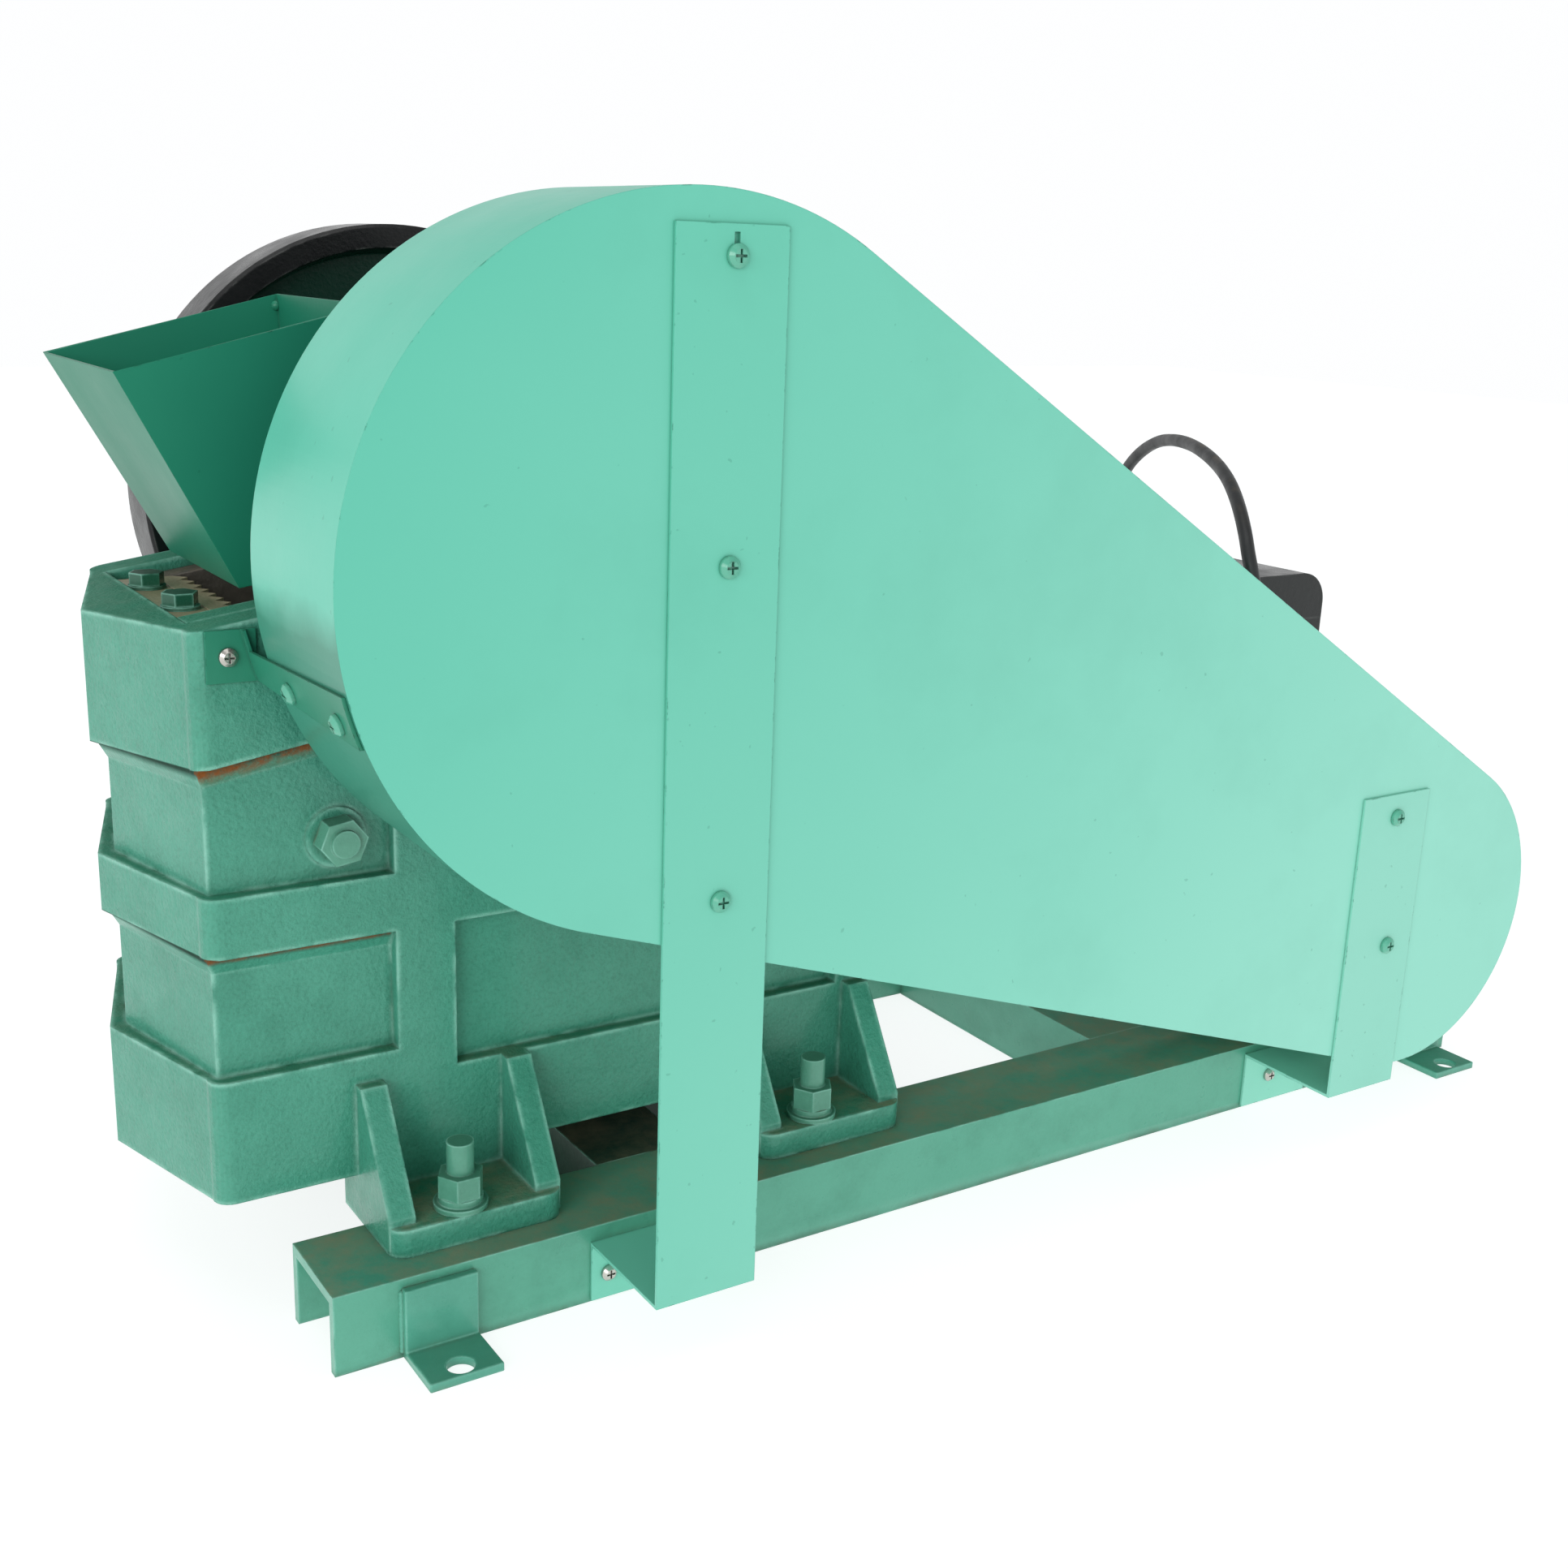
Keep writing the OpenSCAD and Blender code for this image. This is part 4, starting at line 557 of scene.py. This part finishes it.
def catmull(points, steps):
    """Smooth line through the points, with steps parts between each pair."""
    line = []
    for i in range(len(points) - 1):
        a = points[max(i - 1, 0)]
        b, c = points[i], points[i + 1]
        d = points[min(i + 2, len(points) - 1)]
        for k in range(steps):
            t = k / steps
            line.append(0.5 * ((2 * b) + (c - a) * t + (2 * a - 5 * b + 4 * c - d) * t * t
                               + (3 * b - a - 3 * c + d) * t ** 3))
    line.append(points[-1])
    return line


def tube(name, points, radius, resolution):
    """Round tube along the points, as a curve of one open spline."""
    curve = bpy.data.curves.new(name, "CURVE")
    curve.dimensions = "3D"
    curve.bevel_depth = radius
    curve.bevel_resolution = resolution
    curve.use_fill_caps = True
    spline = curve.splines.new("POLY")
    spline.points.add(len(points) - 1)
    for place, point in zip(spline.points, points):
        place.co = (*point, 1.0)
    spline.use_smooth = True
    return curve


# ---------- cable ----------

CORD_D = 0.0075
# The cable's run from the terminal box to the floor, in millimetres, as the CAD has it
CORD_ROUTE = [
    (180, -78, 246), (179.6, -86.5, 247.4), (178, -94.4, 250.6), (175.4, -101.2, 256),
    (172.3, -106.4, 262.7), (169, -109.8, 270.6), (165.8, -111.4, 279.3), (163, -111.2, 288.6),
    (161.4, -109.2, 298.2), (161.8, -104.9, 307.8), (165.2, -98, 317.4), (171.6, -87.4, 326.5),
    (181, -73, 334.5), (192.5, -55, 341.5), (205.5, -33, 347), (219, -8, 351), (233.5, 18.5, 352.5),
    (248, 46, 351.5), (262, 73, 347.5), (274.5, 99, 339), (285.5, 122, 327), (295, 141.5, 310),
    (302.5, 157.5, 288), (309, 170, 262), (313.5, 179, 232), (317.5, 185, 199.5), (320.5, 189.5, 165),
    (322.5, 192, 131), (324.5, 194.5, 99), (325.5, 197, 70.5), (326, 200.8, 52), (326.6, 202.6, 39.2),
    (327, 206.8, 26.4), (327, 214.6, 14.6), (327, 226.2, 6.8), (327, 240, 4)]
# The coil: its centre, its outer turn's radius, the step from turn to turn, and the turns in a layer
COIL_CENTRE = Vector((0.279, 0.267, 0))
COIL_OUT = 0.048
COIL_PITCH = 0.0076
COIL_ROW = 2
COIL_LOW = 0.004
COIL_EXTRA = 0.25
STEPS_PER_TURN = 28
PLUG_AT = Vector((0.255, 0.317, 0.018))


def coil_point(turn):
    """Place on the coil: in for COIL_ROW turns on the floor, then out again one layer higher."""
    inward = min(turn, COIL_ROW)
    outward = max(turn - COIL_ROW, 0)
    radius = COIL_OUT - COIL_PITCH * inward + COIL_PITCH * outward
    rise = min(max((turn - COIL_ROW + 0.1) / 0.25, 0.0), 1.0)
    rise = rise * rise * (3 - 2 * rise)
    angle = 2 * math.pi * turn
    return COIL_CENTRE + Vector((radius * math.cos(angle), radius * math.sin(angle),
                                 COIL_LOW + COIL_PITCH * rise))


def cable_points():
    """The whole cable: route, coil, and the short lead into the plug."""
    route = [Vector(p) / 1000 for p in CORD_ROUTE]
    turns = 2 * COIL_ROW + COIL_EXTRA
    count = int(turns * STEPS_PER_TURN)
    coil = [coil_point(turns * k / count) for k in range(count + 1)]
    lead = [PLUG_AT + Vector((0.013, 0, -0.0035)), PLUG_AT + Vector((0.004, 0, -0.0004)),
            PLUG_AT + Vector((-0.004, 0, 0))]
    before = catmull(route + coil[:2], 4)[:-4]
    after = catmull(coil[-2:] + lead, 4)[4:]
    return before + coil + after[1:]


line = cable_points()
cable = new_piece("cable", tube("cable", line, CORD_D / 2, 5), RUBBER)
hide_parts("power_cord", "cord_coil")


# ---------- small details ----------

def loop_mesh(name, rings, closed_rings=False):
    """Skin over rings of equally many points; open ends are capped."""
    mesh = bpy.data.meshes.new(name)
    work = bmesh.new()
    rows = [[work.verts.new(p) for p in ring] for ring in rings]
    pairs = list(zip(rows, rows[1:])) + ([(rows[-1], rows[0])] if closed_rings else [])
    for a, b in pairs:
        for i in range(len(a)):
            j = (i + 1) % len(a)
            work.faces.new((a[i], a[j], b[j], b[i]))
    if not closed_rings:
        work.faces.new(rows[0][::-1])
        work.faces.new(rows[-1])
    bmesh.ops.recalc_face_normals(work, faces=work.faces)
    for face in work.faces:
        face.smooth = len(face.verts) == 4
    work.to_mesh(mesh)
    work.free()
    return mesh


# Length of a weld between two of its rings, in metres
WELD_STEP = 0.0005


def weld_bead(name, start, end, radius, material):
    """Fillet weld of a radius in millimetres: overlapping ripples between two points."""
    start, end = Vector(start) / 1000, Vector(end) / 1000
    along = (end - start).normalized()
    side = along.orthogonal().normalized()
    other = along.cross(side)
    count = max(int((end - start).length / WELD_STEP), 8)
    rings = []
    for k in range(count + 1):
        at = start.lerp(end, k / count)
        ripple = 0.86 + 0.14 * abs(math.sin(k * 0.62)) + 0.05 * math.sin(k * 0.23 + 1)
        close = min(1.0, 0.35 + 0.3 * min(k, count - k))
        r = radius / 1000 * ripple * close
        rings.append([at + r * (side * math.cos(math.pi * i / 6) + other * math.sin(math.pi * i / 6))
                      for i in range(12)])
    return new_piece(name, loop_mesh(name, rings), material)


# The ties round the coil, in metres: clear of the turns, half as wide, half as thick, and their heights
TIE_CLEAR = 0.0046
TIE_HALF_W = 0.0025
TIE_HALF_T = 0.0004
TIE_Z = (0.0008, 0.0166)
TIE_TOP_ROUND = 0.0035


def coil_tie(name, angle, material):
    """Flat tie that runs once round all the coil's turns."""
    out = Vector((math.cos(angle), math.sin(angle), 0))
    across = Vector((-out.y, out.x, 0))
    inner, outer = COIL_OUT - COIL_PITCH * COIL_ROW - TIE_CLEAR, COIL_OUT + TIE_CLEAR
    low, high = TIE_Z
    path = []
    for r, z, first in ((outer, high, 0), (inner, high, 90), (inner, low, 180), (outer, low, 270)):
        bend = TIE_TOP_ROUND if z == high else TIE_HALF_T
        centre = Vector((r - bend if r == outer else r + bend, 0, z - bend if z == high else z + bend))
        for k in range(5):
            turn = math.radians(first + 90 * k / 4)
            path.append(Vector((centre.x + bend * math.cos(turn), 0, centre.z + bend * math.sin(turn))))
    middle = Vector(((inner + outer) / 2, 0, (low + high) / 2))
    rings = []
    for p in path:
        away = (p - middle).normalized() * TIE_HALF_T
        ring = []
        for q, w in ((p + away, -TIE_HALF_W), (p + away, TIE_HALF_W), (p - away, TIE_HALF_W),
                     (p - away, -TIE_HALF_W)):
            ring.append(COIL_CENTRE + out * q.x + across * w + Vector((0, 0, max(q.z, 0.0001))))
        rings.append(ring)
    return new_piece(name, loop_mesh(name, rings, True), material)


# Radius and height of a rivet head's rings, as parts of its radius
RIVET_RINGS = [(1.0, -0.3), (1.0, 0.1), (0.94, 0.3), (0.78, 0.52), (0.52, 0.7), (0.25, 0.78),
               (0.05, 0.8)]


def rivet(name, at, facing, radius, material):
    """Domed rivet head, placed and sized in millimetres."""
    facing = Vector(facing).normalized()
    side = facing.orthogonal().normalized()
    other = facing.cross(side)
    at = Vector(at) / 1000
    rings = []
    for r, h in RIVET_RINGS:
        rings.append([at + radius / 1000 * (facing * h + r * (side * math.cos(math.pi * i / 8)
                                                             + other * math.sin(math.pi * i / 8)))
                      for i in range(16)])
    return new_piece(name, loop_mesh(name, rings), material)


# The foot tabs' outer ends, the rails' outer faces and the welds' heights, in millimetres
TAB_END = 330.5
RAIL_FACE = 137.5
WELD_Z = (2, 32)
WELD_R = 1.5
for side, side_label in ((-1, "near"), (1, "far")):
    for end, end_label in ((-1, "front"), (1, "rear")):
        low, high = ((end * TAB_END, side * RAIL_FACE, z) for z in WELD_Z)
        weld_bead("tab_weld_%s_%s" % (end_label, side_label), low, high, WELD_R, TAB_GREEN)
rivet("hopper_rivet", (-304.2, 58.2, 422.2), (-0.6, -1, 0.1), 2.3, BRACKET_GREEN)
for turn, label in ((0.7, "a"), (3.6, "b")):
    coil_tie("coil_tie_" + label, turn, PLASTIC)


# ---------- floor and light ----------

FLOOR_HALF = 6.0
FLOOR_GLOW = 2.55
# The shaded floor under the casting: where it fades out, in Y and at its two ends in X
SHADE_Y = (0.125, 0.10)
SHADE_REAR = (-0.05, -0.08)
SHADE_FRONT = (-0.27, -0.24)
# Strength of the surround at the horizon and overhead, and the heights between which it changes
SURROUND = (1.0, 0.35)
SURROUND_FADE = (0.2, 0.8)
# Middle of the machine, at which the lights point
AIM = (-0.1, 0, 0.2)


def make_floor():
    """Pale floor with a faint mottle and a painted shadow under the casting, a little bright of itself as
    a light table is.
    """
    mesh = bpy.data.meshes.new("floor")
    corners = [(x * FLOOR_HALF, y * FLOOR_HALF, 0) for x, y in ((-1, -1), (1, -1), (1, 1), (-1, 1))]
    mesh.from_pydata(corners, [], [(0, 1, 2, 3)])
    floor = bpy.data.objects.new("floor", mesh)
    bpy.context.scene.collection.objects.link(floor)
    s = Shader("pale_floor")
    tone = s.mix(s.noise(1.5, 4), rgb(150, 151, 151), rgb(156, 157, 157))
    x, y, _ = s.xyz(s.coords)
    across = s.ramp(s.math("ABSOLUTE", y), *SHADE_Y)
    painted_shadow = s.times(across, s.ramp(x, *SHADE_REAR), s.ramp(x, *SHADE_FRONT))
    # Painted shadow: dark floor under the casting
    tone = s.mix(painted_shadow, tone, rgb(24, 28, 26))
    mesh.materials.append(s.finish(tone, s.ramp(s.noise(3, 4), 0.3, 0.7, 0.65, 0.8), specular=0.2,
                                   glow=FLOOR_GLOW))


def area_light(name, place, size, power):
    """Rectangular lamp that points at the middle of the machine."""
    light = bpy.data.lights.new(name, "AREA")
    light.shape = "RECTANGLE"
    light.size, light.size_y = size
    light.energy = power
    lamp = bpy.data.objects.new(name, light)
    bpy.context.scene.collection.objects.link(lamp)
    lamp.location = place
    lamp.rotation_euler = (Vector(AIM) - Vector(place)).to_track_quat("-Z", "Y").to_euler()


def make_world():
    """Studio surround: white round the horizon, dimmer overhead."""
    world = bpy.data.worlds.new("studio")
    world.use_nodes = True
    tree = world.node_tree
    where = tree.nodes.new("ShaderNodeTexCoord")
    split = tree.nodes.new("ShaderNodeSeparateXYZ")
    fade = tree.nodes.new("ShaderNodeMapRange")
    fade.inputs["From Min"].default_value, fade.inputs["From Max"].default_value = SURROUND_FADE
    fade.inputs["To Min"].default_value, fade.inputs["To Max"].default_value = SURROUND
    back = tree.nodes["Background"]
    back.inputs["Color"].default_value = (0.99, 0.995, 1.0, 1.0)
    tree.links.new(where.outputs["Generated"], split.inputs[0])
    tree.links.new(split.outputs["Z"], fade.inputs["Value"])
    tree.links.new(fade.outputs[0], back.inputs["Strength"])
    bpy.context.scene.world = world


make_floor()
make_world()
area_light("key", (-2.4, -1.7, 1.1), (1.6, 1.2), 26)
area_light("top", (-0.5, -0.3, 2.6), (2.0, 2.0), 16)
bpy.context.scene.view_settings.view_transform = "Standard"
